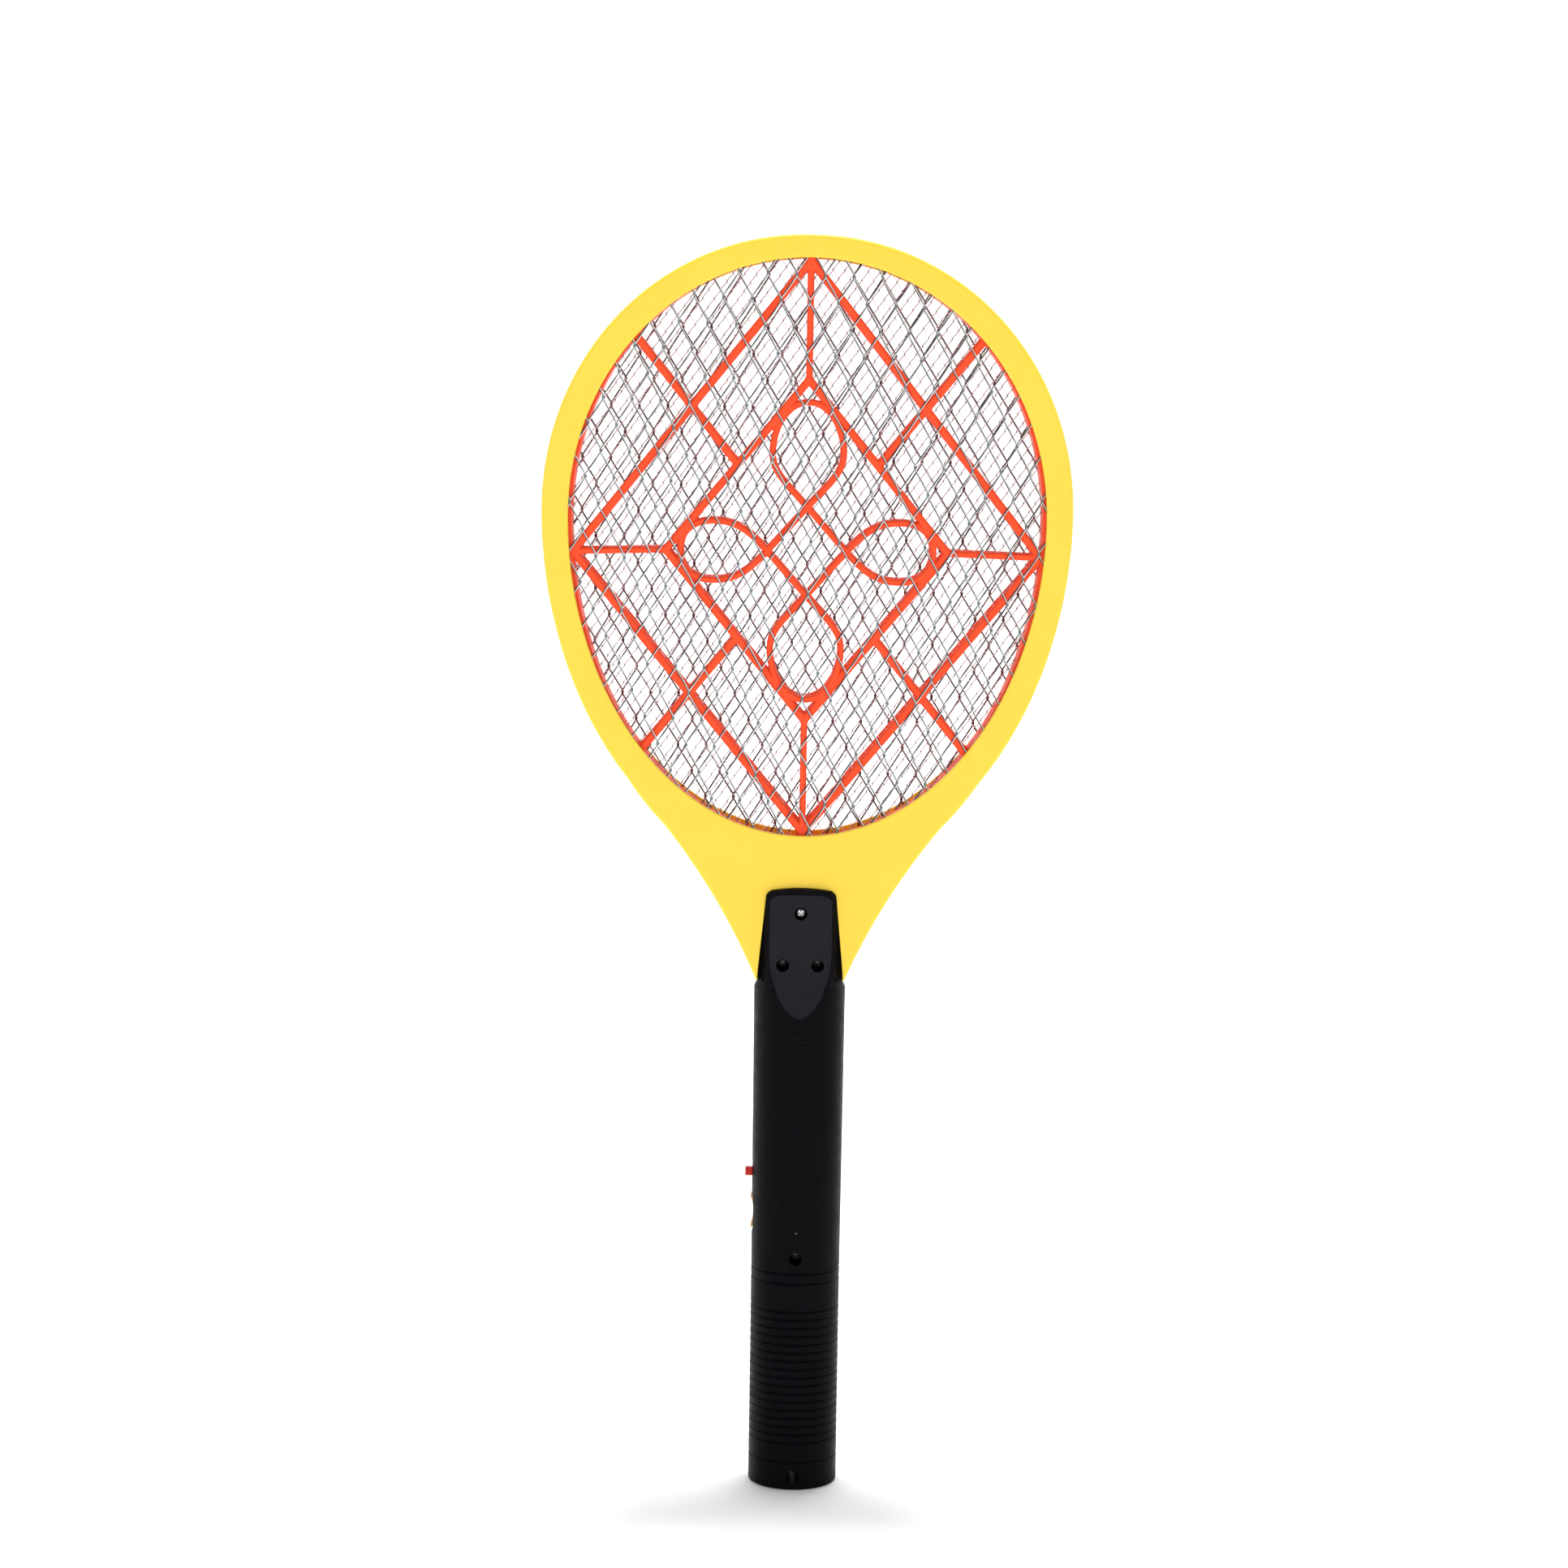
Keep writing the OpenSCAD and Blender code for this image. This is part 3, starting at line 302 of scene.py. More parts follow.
# Painted shade: the near net's sheared strand sides, much darker than its faces though they are the same
# steel.
near_side_shade = surface("near_side_shade", (0.050, 0.060, 0.062), 0.50, 0.2, shift=0.25, patch=4,
                        grain=0.25, grain_depth=0.008)
# Painted shade: screw steel darkened for the screws that sit deep in their holes.
deep_screw_shade = surface("deep_screw_shade", (0.10, 0.10, 0.11), 0.38, 0.9, shift=0.3, patch=1.5,
                     grain=0.2, grain_depth=0.004, edge=0.08)
# Painted shade: the near net's knots, darker than its faces though they are the same steel.
near_knot_shade = surface("near_knot_shade", (0.16, 0.19, 0.20), 0.50, 0.3, shift=0.18, patch=3,
                       grain=0.25, grain_depth=0.006)
# Painted shade in a maroon tone: the knots of the far net and of the fine net.
maroon_knot_shade = surface("maroon_knot_shade", (0.085, 0.026, 0.032), 0.50, 0.2, shift=0.35, patch=5,
                       grain=0.25, grain_depth=0.006)
# Painted shade in a pinkish tone: the far net's faces, the same steel as the near net's, darkened as it lies
# in shade behind the grilles and the fine net.
far_net_shade = surface("far_net_shade", (0.42, 0.36, 0.37), 0.45, 0.2, shift=0.2, patch=6,
                    grain=0.3, grain_depth=0.006)
# Painted highlight: the fine net's sheared sides, nearly white, so that the strands which turn them to the
# view show as faint pale lines.
fine_side_highlight = surface("fine_side_highlight", (0.80, 0.74, 0.76), 0.45, 0.1, shift=0.05, patch=5,
                       grain=0.25, grain_depth=0.005)
# Painted shade: the far net's sheared strand sides.
far_side_shade = surface("far_side_shade", (0.045, 0.034, 0.037), 0.50, 0.2, shift=0.4, patch=8,
                      grain=0.25, grain_depth=0.006)
# Each net's colours for its faces, sheared sides and knots: all but the near and fine nets' face colours are
# painted shade and highlight on one steel.
NET_LOOKS = (LOOKS["outer_net_steel"], near_side_shade, near_knot_shade)
FAR_NET_LOOKS = (far_net_shade, far_side_shade, maroon_knot_shade)
FINE_NET_LOOKS = (LOOKS["inner_net_steel"], fine_side_highlight, maroon_knot_shade)


def masked(look, mask, colour):
    """Lays a colour over a finish as far as the mask goes."""
    tree = look.node_tree
    base = tree.nodes["Principled BSDF"].inputs["Base Color"]
    mix = node_at(tree, "ShaderNodeMix", -100, 400, data_type="RGBA")
    mix.inputs["B"].default_value = (*colour, 1)
    tree.links.new(base.links[0].from_socket, mix.inputs["A"])
    tree.links.new(mask, mix.inputs["Factor"])
    tree.links.new(mix.outputs["Result"], base)


def sums(tree, operation, a, b=None):
    """One step of arithmetic on two sockets or numbers."""
    node = node_at(tree, "ShaderNodeMath", -700, 600, operation=operation)
    for socket, value in zip(node.inputs, (a, b)):
        if isinstance(value, (int, float)):
            socket.default_value = value
        elif value is not None:
            tree.links.new(value, socket)
    return node.outputs["Value"]


def split(tree, vector):
    parts = node_at(tree, "ShaderNodeSeparateXYZ", -900, 600)
    tree.links.new(vector, parts.inputs["Vector"])
    return parts.outputs


def plate_sheen_mask(tree):
    """1 on the flat plate and its ramp, which get a paler colour than the rest of the handle: a painted sheen
    for the flat plate's reflection.
    """
    place = split(tree, node_at(tree, "ShaderNodeTexCoord", -1100, 600).outputs["Object"])
    facing = split(tree, node_at(tree, "ShaderNodeNewGeometry", -1100, 800).outputs["True Normal"])
    level = sums(tree, "LESS_THAN", sums(tree, "ABSOLUTE", facing["X"]), LEVEL_ENOUGH)
    high = sums(tree, "GREATER_THAN", place["Z"], PLATE_FOOT_Z * MM)
    across = sums(tree, "DIVIDE", sums(tree, "ABSOLUTE", place["X"]), PLATE_CORNER_W * MM)
    drop = sums(tree, "MULTIPLY", sums(tree, "POWER", across, PLATE_CORNER_POWER), PLATE_CORNER_DROP * MM)
    low = sums(tree, "LESS_THAN", sums(tree, "ADD", place["Z"], drop), (TONGUE_TOP_Z - PLATE_RIM) * MM)
    out = sums(tree, "GREATER_THAN", sums(tree, "ABSOLUTE", place["Y"]), (PLATE_DEPTH - 0.5) * MM)
    return sums(tree, "MULTIPLY", sums(tree, "MULTIPLY", level, high), sums(tree, "MULTIPLY", low, out))


def scuff_mask(tree):
    """A few short, faint scratches, only in some places."""
    lines = spread(tree, noise(tree, 0.5, 2, (10, 10, 1), y=900), 0, 1, (0.67, 0.72), y=900)
    places = spread(tree, noise(tree, 16, 1, y=1100), 0, 0.7, (0.62, 0.72), y=1100)
    return sums(tree, "MULTIPLY", lines, places)


# The plate's paler colour is a painted sheen; the scuffs on the next line are real wear.
masked(LOOKS["black_plastic"], plate_sheen_mask(LOOKS["black_plastic"].node_tree), (0.0150, 0.0148, 0.0190))
masked(LOOKS["black_plastic"], scuff_mask(LOOKS["black_plastic"].node_tree), (0.030, 0.030, 0.032))

for row in frame["record"]["subparts"]:
    node = frame["nodes"][row["node"]]
    node.data.materials.clear()
    node.data.materials.append(LOOKS[row["material_slot"]])


# ======== outlines ========

def half_oval(w, h, z, power, degrees):
    a = np.radians(degrees)
    return np.stack([w * np.cos(a) ** (2 / power), z + h * np.sin(a) ** (2 / power)], 1)


def head_edge(inset):
    """The right half of the head's outline, from the top down to the neck."""
    w = HEAD_HALF_W - inset
    top = half_oval(w, HEAD_RISE - inset, HEAD_Z, RISE_POWER, np.arange(90, -0.5, -1.0))
    low = half_oval(w, inset - HEAD_DROP, HEAD_Z, DROP_POWER, np.arange(1, DROP_END, 1.0))
    start = half_oval(HEAD_HALF_W, -HEAD_DROP, HEAD_Z, DROP_POWER, np.array([DROP_END]))[0]
    heading = math.radians(FLARE_HEADING)
    run = np.array([math.cos(heading), -math.sin(heading)])
    centre = start + FLARE_RUN * run + FLARE_R * np.array([-run[1], run[0]])
    a = np.radians(270 - FLARE_HEADING + np.arange(0, FLARE_SWEEP + 0.1, 1.0))
    flare = centre + (FLARE_R + inset) * np.stack([np.cos(a), np.sin(a)], 1)
    return np.concatenate([top, low, flare])


def opening_edge(side, up=None, down=None):
    """The right half of the net opening, grown to the side, up and down."""
    up = side if up is None else up
    down = side if down is None else down
    w = OPENING_HALF_W + side
    top = half_oval(w, OPENING_RISE + up, OPENING_Z, 2, np.arange(90, -0.5, -1.0))
    low = half_oval(w, -OPENING_DROP - down, OPENING_Z, 2, np.arange(1, 90.5, 1.0))
    return np.concatenate([top, low])


RAYS = np.radians(np.arange(0, 360, 0.4))      # directions from the middle of the opening, clockwise from up


def ring(edge, depth, side):
    """A half outline turned into points along every ray, at one depth."""
    turned = np.minimum(RAYS, 2 * math.pi - RAYS)
    angle = np.arctan2(edge[:, 0], edge[:, 1] - OPENING_Z)
    reach = np.interp(turned, angle, np.hypot(edge[:, 0], edge[:, 1] - OPENING_Z))
    below = turned > angle[-1]
    reach[below] = (OPENING_Z - NECK_FOOT_Z) / -np.cos(turned[below])
    x, z = reach * np.sin(RAYS), OPENING_Z + reach * np.cos(RAYS)
    return np.stack([x, np.full(len(RAYS), side * depth), z], 1)


def rounded(r, steps=6):
    """Insets and drops along a quarter round, from the wall to the face."""
    return [(r * (1 - math.cos(a)), r * (1 - math.sin(a))) for a in np.linspace(0, math.pi / 2, steps + 1)]


def tongue_outline(grow):
    r = TONGUE_CORNER + grow
    cx, cz = TONGUE_TIP_W - TONGUE_CORNER, TONGUE_TOP_Z - TONGUE_CORNER
    top = [(k * cx, cz + r + TONGUE_ARCH * (1 - k * k)) for k in np.linspace(0, 1, 9)]
    corner = [(cx + r * math.cos(a), cz + r * math.sin(a)) for a in np.radians(np.arange(80, -1, -10))]
    half = top + corner + [(TONGUE_FOOT_W + grow, SHOULDER_Z)]
    return half + [(-x, z) for x, z in half[:0:-1]]


# ======== head frames ========

EDGE_R = 1.3
LIP_R = 0.5
SEAM_CHAMFER = 0.25
FLAT = 0.4      # width of flat kept beside a rounded edge, so that its shading stays flat


def head_frame(name, side, holes):
    outer = [(SEAM_CHAMFER, SEAM), (0, SEAM + 0.3)]
    outer += [(inset, HEAD_HALF_T - drop) for inset, drop in rounded(EDGE_R)]
    outer += [(EDGE_R + FLAT, HEAD_HALF_T)]
    inner = [(LIP_R + FLAT, HEAD_HALF_T)]
    inner += [(inset, HEAD_HALF_T - drop) for inset, drop in rounded(LIP_R, 4)[::-1]]
    inner += [(0, LIP_DEPTH), (SEAT_GROW, LIP_DEPTH), (SEAT_GROW, SEAM)]
    rings = [ring(head_edge(inset), depth, side) for inset, depth in outer]
    rings += [ring(opening_edge(grow), depth, side) for grow, depth in inner]
    obj = piece(name, *ring_tube(rings))
    bed = tongue_outline(BED_GAP)
    cutters = [prism("bed", bed, BED_DEPTH, HEAD_HALF_T + 2, side)]
    for x in holes:
        hole = circle_outline(x, LOW_SCREW_AT[1], COUNTERBORE_R)
        cutters.append(prism("hole", hole, LOW_HEAD_DEPTH, HEAD_HALF_T, side))
    cut(obj, cutters)
    return obj


for name, side, holes in (("rear_head_frame", REAR, (-LOW_SCREW_AT[0], LOW_SCREW_AT[0])),
                          ("front_head_frame", FRONT, ())):
    finish_piece(head_frame(name + "_moulding", side, holes), "racket", "yellow_plastic",
                 LOOKS["yellow_plastic"], name)


# ======== nets of expanded metal ========

def oval_room(p, grow):
    """How far inside the seat's oval points lie: positive inside, 0 on it."""
    rise = np.where(p[..., 1] > OPENING_Z, OPENING_RISE, OPENING_DROP) + grow
    return 1 - np.hypot(p[..., 0] / (OPENING_HALF_W + grow), (p[..., 1] - OPENING_Z) / rise)


def strand_section(along, half_w, half_t, rim, lean):
    """Eight points round a flat strand with sheared corners. Its width leans out of the net's plane."""
    across = np.array([along[1], -along[0]])
    flat = half_w - rim
    corners = [(-half_w, -0.4 * half_t), (-flat, -half_t), (flat, -half_t), (half_w, -0.4 * half_t)]
    corners += [(-u, -v) for u, v in corners]
    u, v = np.array(corners).T
    a = u * math.cos(lean) - v * math.sin(lean)
    return np.stack([a * across[0], u * math.sin(lean) + v * math.cos(lean), a * across[1]], 1)


FACE, SHEARED, BOND = 0, 1, 2      # index of a net's colour for each surface: the face colour, and painted shade and highlight for sheared sides and knots
ROUND_STRAND = (SHEARED, FACE, SHEARED, SHEARED, SHEARED, FACE, SHEARED, SHEARED)


class Net:
    """Collects the strands and knots of one sheet."""

    def __init__(self, depth, side):
        self.depth, self.side = depth, side
        self.points, self.faces, self.finishes, self.count = [], [], [], 0

    def add(self, points, faces, finishes):
        self.points.append(points)
        self.faces += [tuple(i + self.count for i in f) for f in faces]
        self.finishes += finishes
        self.count += len(points)

    def strand(self, start, end, half_w, half_t, rim, leans):
        """A strand that twists through the given leans on its way."""
        along = (end - start) / np.linalg.norm(end - start)
        rows = []
        for t, lean in zip(np.linspace(0, 1, len(leans)), leans):
            x, z = start + (end - start) * t
            rows.append(strand_section(along, half_w, half_t, rim, lean) + (x, self.side * self.depth, z))
        n = len(rows)
        faces = [tuple(range(8)), tuple(range(8 * n - 1, 8 * n - 9, -1))]
        faces += [(8 * k + c, 8 * k + 8 + c, 8 * k + 8 + (c + 1) % 8, 8 * k + (c + 1) % 8)
                  for k in range(n - 1) for c in range(8)]
        self.add(np.concatenate(rows), faces, [SHEARED, SHEARED] + list(ROUND_STRAND) * (n - 1))

    def knot(self, at, up, half_w, half_h, half_t):
        """A long hexagonal bond, standing along the net's tall direction."""
        side = np.array([up[1], -up[0]])
        shape = [(0, 1.35), (1, 0.55), (1, -0.55), (0, -1.35), (-1, -0.55), (-1, 0.55)]
        rim = [at + side * half_w * u + up * half_h * v for u, v in shape]
        crown = [at + 0.62 * (q - at) for q in rim]
        y = self.side * self.depth
        points = [(q[0], y, q[1]) for q in rim]
        points += [(q[0], y + s * half_t, q[1]) for s in (-1, 1) for q in crown]
        faces = [tuple(range(6, 12)), tuple(range(17, 11, -1))]
        for k in range(6):
            n = (k + 1) % 6
            faces += [(k, n, 6 + n, 6 + k), (n, k, 12 + k, 12 + n)]
        self.add(np.array(points), faces, [BOND] * len(faces))


def net(name, depth, side, pitch, tilt, phase, strand, knot, leans, grow=SEAT_GROW - 0.5):
    """A sheet of diamonds, pitch wide and tall, that reaches as far as grow beyond the opening.

    Its rows fall by tilt degrees, and one of its knots is at phase. strand is half the strands' width,
    half their thickness and the width of their sheared edges. Strands that rise to the right twist
    through leans[1], and those that rise to the left through leans[-1].
    """
    w, h = pitch
    t = math.radians(tilt)
    across = np.array([math.cos(t), -math.sin(t)])
    up = np.array([math.sin(t), math.cos(t)])
    origin = np.array(phase)
    sheet = Net(depth, side)
    n = 2 * math.ceil(HEAD_HALF_W / w) + 4
    m = 2 * math.ceil(HEAD_DROP / h) + 4
    for i in range(-n, n + 1):
        for j in range(-m, m + 1):
            if (i + j) % 2:
                continue
            at = origin + across * (i * w / 2) + up * (j * h / 2)
            if oval_room(at, grow - 0.5) > 0:
                sheet.knot(at, up, *knot)
            for s in (-1, 1):
                end = at + across * (s * w / 2) + up * (h / 2)
                lift = up * knot[1] * 0.8
                a, b = at + lift, end - lift
                inside = oval_room(np.stack([a, b]), grow) > 0
                if not inside.any():
                    continue
                if not inside.all():
                    steps = a + (b - a) * np.linspace(0, 1, 41)[:, None]
                    kept = steps[oval_room(steps, grow) > 0]
                    a, b = kept[0], kept[-1]
                    if np.linalg.norm(b - a) < 0.4:
                        continue
                sheet.strand(a, b, *strand, leans[s])
    obj = piece(name, np.concatenate(sheet.points), sheet.faces, 25)
    obj["finishes"] = sheet.finishes
    return obj


def finish_net(obj, slot, looks, stands_for):
    finishes = list(obj.pop("finishes"))
    finish_piece(obj, "racket", slot, looks[FACE], stands_for)
    for look in looks[1:]:
        obj.data.materials.append(look)
    obj.data.polygons.foreach_set("material_index", finishes)


def twist(middle, ends):
    return np.radians([ends, 0.5 * (middle + ends), middle, middle, 0.5 * (middle + ends), ends])


COARSE = (10.5, 19.4)              # width and height of a diamond
FINE = (4.3, 6.5)
COARSE_KNOT = (0.55, 0.85, 0.34)   # half sizes: across, along the tall direction, and through the sheet
FINE_KNOT = (0.27, 0.30, 0.14)
OUTER_NET_DEPTH = 7.72
NEAR_LEANS = {1: twist(50, 25), -1: twist(36, 20)}
FAR_LEANS = {1: twist(75, 40), -1: twist(-70, -40)}
FINE_LEANS = {1: np.radians([5, 12]), -1: np.radians([88, 80])}

finish_net(net("rear_outer_net_mesh", OUTER_NET_DEPTH, REAR, COARSE, tilt=2.25, phase=(-3.4, 366.3),
               strand=(0.30, 0.32, 0.11), knot=COARSE_KNOT, leans=NEAR_LEANS),
           "outer_net_steel", NET_LOOKS, "rear_outer_net")
finish_net(net("front_outer_net_mesh", OUTER_NET_DEPTH, FRONT, COARSE, tilt=0, phase=(0.3, 366.4),
               strand=(0.28, 0.28, 0.10), knot=COARSE_KNOT, leans=FAR_LEANS),
           "outer_net_steel", FAR_NET_LOOKS, "front_outer_net")
finish_net(net("inner_net_mesh", 0, REAR, FINE, tilt=2.4, phase=(0.0, 365.0),
               strand=(0.16, 0.10, 0.025), knot=FINE_KNOT, leans=FINE_LEANS, grow=1.8),
           "inner_net_steel", FINE_NET_LOOKS, "inner_net")


# ======== grilles ========

RHOMB_SIDE = (86.2, 351.5)
RHOMB_TOP = (0, 459)
CORE_SIDE = (52, 352.6)
CORE_TOP = (0, 415.5)
CORE_BOTTOM = (0, 290.2)
CROSS_TOP = ((27.3, 386), (64.5, 431.5))
CROSS_BOTTOM = ((26.6, 319.2), (61, 277.5))
HEART_Z = 352.6
HEART_HALF = (14.6, 16.3)
# reach of a petal from its crossing, height and half width of its broadest level,
# pull of its curve at the crossing and at that level, and fullness of its round end
TALL_PETAL = (38.4, 19.5, 13.1, 11, 7, 2)
WIDE_PETAL = (32, 19.5, 10.9, 10, 8, 2.3)
BAR_HALF_W = 1.45
THIN_HALF_W = 1.2
RHOMB_BOTTOM = (0, 248.5)
GRILLE_TOP = 7.36              # depth of the bars' outer face, just under the net
GRILLE_HALF_T = 1.7
GRILLE_EDGE_R = 1.0
GRILLE_CELL = 0.45
RING_EDGE = (-1.3, 0.9, 1.7)   # how far the ring stands outside the opening: sideways, up and down
RING_DEPTHS = (0.35, 7.28)
RING_CHAMFER = 0.25
RING_GAP = 0.35                # between the ring and the wall of its seat
FILLET = 0.7                   # width over which crossing bars run into each other
RIM_FILLET = 3.0               # the same where the bars run into the rim
RIM_IN = 0.9                   # where the rim's edges lie, measured across it
RIM_OUT = 2.6
LINK_OVERRUN = 3               # how far the thin bars run on into the rim


def segment_distance(x, z, a, b):
    ax, az = a
    vx, vz = b[0] - ax, b[1] - az
    t = np.clip(((x - ax) * vx + (z - az) * vz) / (vx * vx + vz * vz), 0, 1)
    return np.hypot(x - ax - t * vx, z - az - t * vz)


def bars_distance(x, z, *bars):
    return np.minimum.reduce([segment_distance(x, z, a, b) for a, b in bars])


def blend_in(f, g, k):
    """The union of two distance fields, with a fillet about k wide where they meet."""
    h = np.maximum(k - np.abs(f - g), 0) / k
    return np.minimum(f, g) - h * h * k / 4


def petal_path(sizes, cross, slope):
    """Half of a petal's centreline, from its crossing up the Y axis to its tip."""
    reach, level, half_w, pull, rest, fullness = sizes
    broad = np.array([half_w, level])
    a, b = pull * np.array([math.sin(slope), math.cos(slope)]), broad - (0, rest)
    lower = [3 * t * (1 - t) * ((1 - t) * a + t * b) + t ** 3 * broad for t in np.linspace(0, 1, 13)]
    upper = [(half_w * math.cos(t) ** (2 / fullness), level + (reach - level) * math.sin(t) ** (2 / fullness))
             for t in np.linspace(0.06, math.pi / 2, 22)]
    return [(x, cross + z) for x, z in lower + upper]


def path_distance(x, z, path):
    f = np.full(x.shape, 1e3)
    for a, b in zip(path[:-1], path[1:]):
        f = np.minimum(f, segment_distance(x, z, a, b))
    return f


def grille_field(x, z):
    """Distance to the edge of the grille's bars, negative inside them. Both halves are alike."""
    x = np.abs(x)
    rhomb = bars_distance(x, z, (RHOMB_TOP, RHOMB_SIDE), (RHOMB_BOTTOM, RHOMB_SIDE))
    core = bars_distance(x, z, (CORE_TOP, CORE_SIDE), (CORE_BOTTOM, CORE_SIDE))
    cross = bars_distance(x, z, CROSS_TOP, CROSS_BOTTOM)
    link = bars_distance(x, z, (CORE_SIDE, (RHOMB_SIDE[0] + LINK_OVERRUN, RHOMB_SIDE[1])),
                         (CORE_TOP, (0, RHOMB_TOP[1] + LINK_OVERRUN)),
                         (CORE_BOTTOM, (0, RHOMB_BOTTOM[1] - LINK_OVERRUN)))
    slope = math.atan2(*HEART_HALF)
    u, v = x, z - HEART_Z
    tall = path_distance(u, np.abs(v), petal_path(TALL_PETAL, HEART_HALF[1], slope))
    wide = path_distance(np.abs(v), u, petal_path(WIDE_PETAL, HEART_HALF[0], math.pi / 2 - slope))
    heart = segment_distance(u, np.abs(v), (0, HEART_HALF[1]), (HEART_HALF[0], 0))
    f = blend_in(rhomb - BAR_HALF_W, cross - BAR_HALF_W, FILLET)
    f = blend_in(f, core - BAR_HALF_W, FILLET)
    f = blend_in(f, link - THIN_HALF_W, FILLET)
    flower = blend_in(tall, wide, FILLET)
    flower = blend_in(flower, heart, FILLET) - THIN_HALF_W
    return blend_in(f, flower, FILLET)


def grille_mesh(name, side):
    """Bars with rounded edges, as one skin over a fine grid whose border points lie on the bars' edge."""
    xs = np.arange(-92, 92.01, GRILLE_CELL)
    zs = np.arange(242, 466.01, GRILLE_CELL)
    gx, gz = np.meshgrid(xs, zs, indexing="ij")
    bars = grille_field(gx, gz)
    rim_edge = -oval_room(np.stack([gx, gz], -1), 0.6) * OPENING_HALF_W
    f = blend_in(bars, RIM_IN - rim_edge, RIM_FILLET)
    f = np.maximum(f, rim_edge - RIM_OUT)
    fx, fz = np.gradient(f, GRILLE_CELL)
    inside = f < 0
    corner_id = np.full(f.shape, -1)
    corner_id[inside] = np.arange(inside.sum())
    plan = [np.stack([gx[inside], gz[inside], f[inside], fx[inside], fz[inside]], 1)]
    first_border = count = int(inside.sum())

    def crossings(axis):
        nonlocal count
        a = (slice(None, -1), slice(None)) if axis == 0 else (slice(None), slice(None, -1))
        b = (slice(1, None), slice(None)) if axis == 0 else (slice(None), slice(1, None))
        change = inside[a] != inside[b]
        t = (f[a] / (f[a] - f[b] + 1e-12))[change]
        rows = [(q[a] + 0 * q[a])[change] * (1 - t) + q[b][change] * t for q in (gx, gz, f, fx, fz)]
        ids = np.full(change.shape, -1)
        ids[change] = count + np.arange(change.sum())
        plan.append(np.stack(rows, 1))
        count += int(change.sum())
        return ids

    across_id, up_id = crossings(0), crossings(1)
    plan = np.concatenate(plan)
    cells, border = [], []
    busy = inside[:-1, :-1] | inside[1:, :-1] | inside[:-1, 1:] | inside[1:, 1:]
    for i, j in zip(*np.nonzero(busy)):
        walk = ((i, j, across_id[i, j]), (i + 1, j, up_id[i + 1, j]),
                (i + 1, j + 1, across_id[i, j + 1]), (i, j + 1, up_id[i, j]))
        loop = []
        for ci, cj, edge in walk:
            if inside[ci, cj]:
                loop.append(corner_id[ci, cj])
            if edge >= 0:
                loop.append(edge)
        cells.append(loop)
        border += [(a, b) for a, b in zip(loop, loop[1:] + loop[:1]) if min(a, b) >= first_border]

    r = GRILLE_EDGE_R
    reach = np.clip(r + plan[:, 2], 0, r)
    height = GRILLE_HALF_T - r + np.sqrt(np.maximum(r * r - reach * reach, 0))
    slope = plan[:, 3:5] / np.maximum(np.hypot(plan[:, 3], plan[:, 4]), 1e-6)[:, None]
    lean = (reach / r)[:, None] * slope
    face = np.sqrt(np.maximum(1 - (reach / r) ** 2, 0))
    middle = side * (GRILLE_TOP - GRILLE_HALF_T)
    total = len(plan)
    points, normals = [], []
    for way in (side, -side):
        points.append(np.stack([plan[:, 0], middle + way * height, plan[:, 1]], 1))
        normals.append(np.stack([lean[:, 0], way * face, lean[:, 1]], 1))
    out = side < 0
    faces = [c if out else c[::-1] for c in cells]
    faces += [[total + k for k in (c[::-1] if out else c)] for c in cells]
    faces += [[b, a, total + a, total + b] if out else [a, b, total + b, total + a] for a, b in border]
    return piece(name, np.concatenate(points), faces, 180, np.concatenate(normals))


def grille_ring(name, side):
    """The standing ring that keeps the nets apart, behind the bars' ends."""
    low, high = RING_DEPTHS
    edge = opening_edge(*RING_EDGE)
    near = opening_edge(*(g + RING_CHAMFER for g in RING_EDGE))
    far = opening_edge(SEAT_GROW - RING_GAP)
    rings = [ring(near, low, side), ring(edge, low + RING_CHAMFER, side),
             ring(edge, high - RING_CHAMFER, side), ring(near, high, side),
             ring(far, high, side), ring(far, low, side)]
    return piece(name, *ring_tube(rings))


for name, side in (("rear_grille", REAR), ("front_grille", FRONT)):
    finish_piece(grille_mesh(name + "_bars", side), "racket", "red_plastic", LOOKS["red_plastic"], name)
    finish_piece(grille_ring(name + "_ring", side), "racket", "red_plastic", LOOKS["red_plastic"], name)


# ======== screws ========

HEAD_R = 2.15
HEAD_H = 1.9
HEAD_WALL_H = 0.75             # height at which the head's dome starts
SHANK_R = 1.3
RECESS_DEPTH = 1.15
RECESS_LONG = (1.35, 0.6)      # half lengths of a recess's arm, at its mouth and its floor
RECESS_WIDE = (0.33, 0.22)
NECK_TIP = 8.4                 # how far the neck screws reach beyond the middle plane
GRIP_TIP = 7.4
TOP_SCREW_AT = (0, 218.5)
TOP_SEAT = 7.7
GRIP_SCREW_AT = (0, 88.7)
GRIP_SEAT = 7.8
WELL_R = 2.22
WELL_OUTER_R = 2.36


def wedge(at, y_top, y_bottom, along, across):
    """A cutter for one arm of a cross recess. along and across are half lengths at its mouth and floor."""
    points = []
    for y, u, v in ((y_top, along[0], across[0]), (y_bottom, along[1], across[1])):
        points += [(at[0] + a * u, y, at[1] + b * v) for a, b in ((-1, -1), (1, -1), (1, 1), (-1, 1))]
    faces = [(0, 1, 2, 3), (7, 6, 5, 4)] + [(k, (k + 1) % 4, 4 + (k + 1) % 4, 4 + k) for k in range(4)]
    return piece("wedge", points, faces)


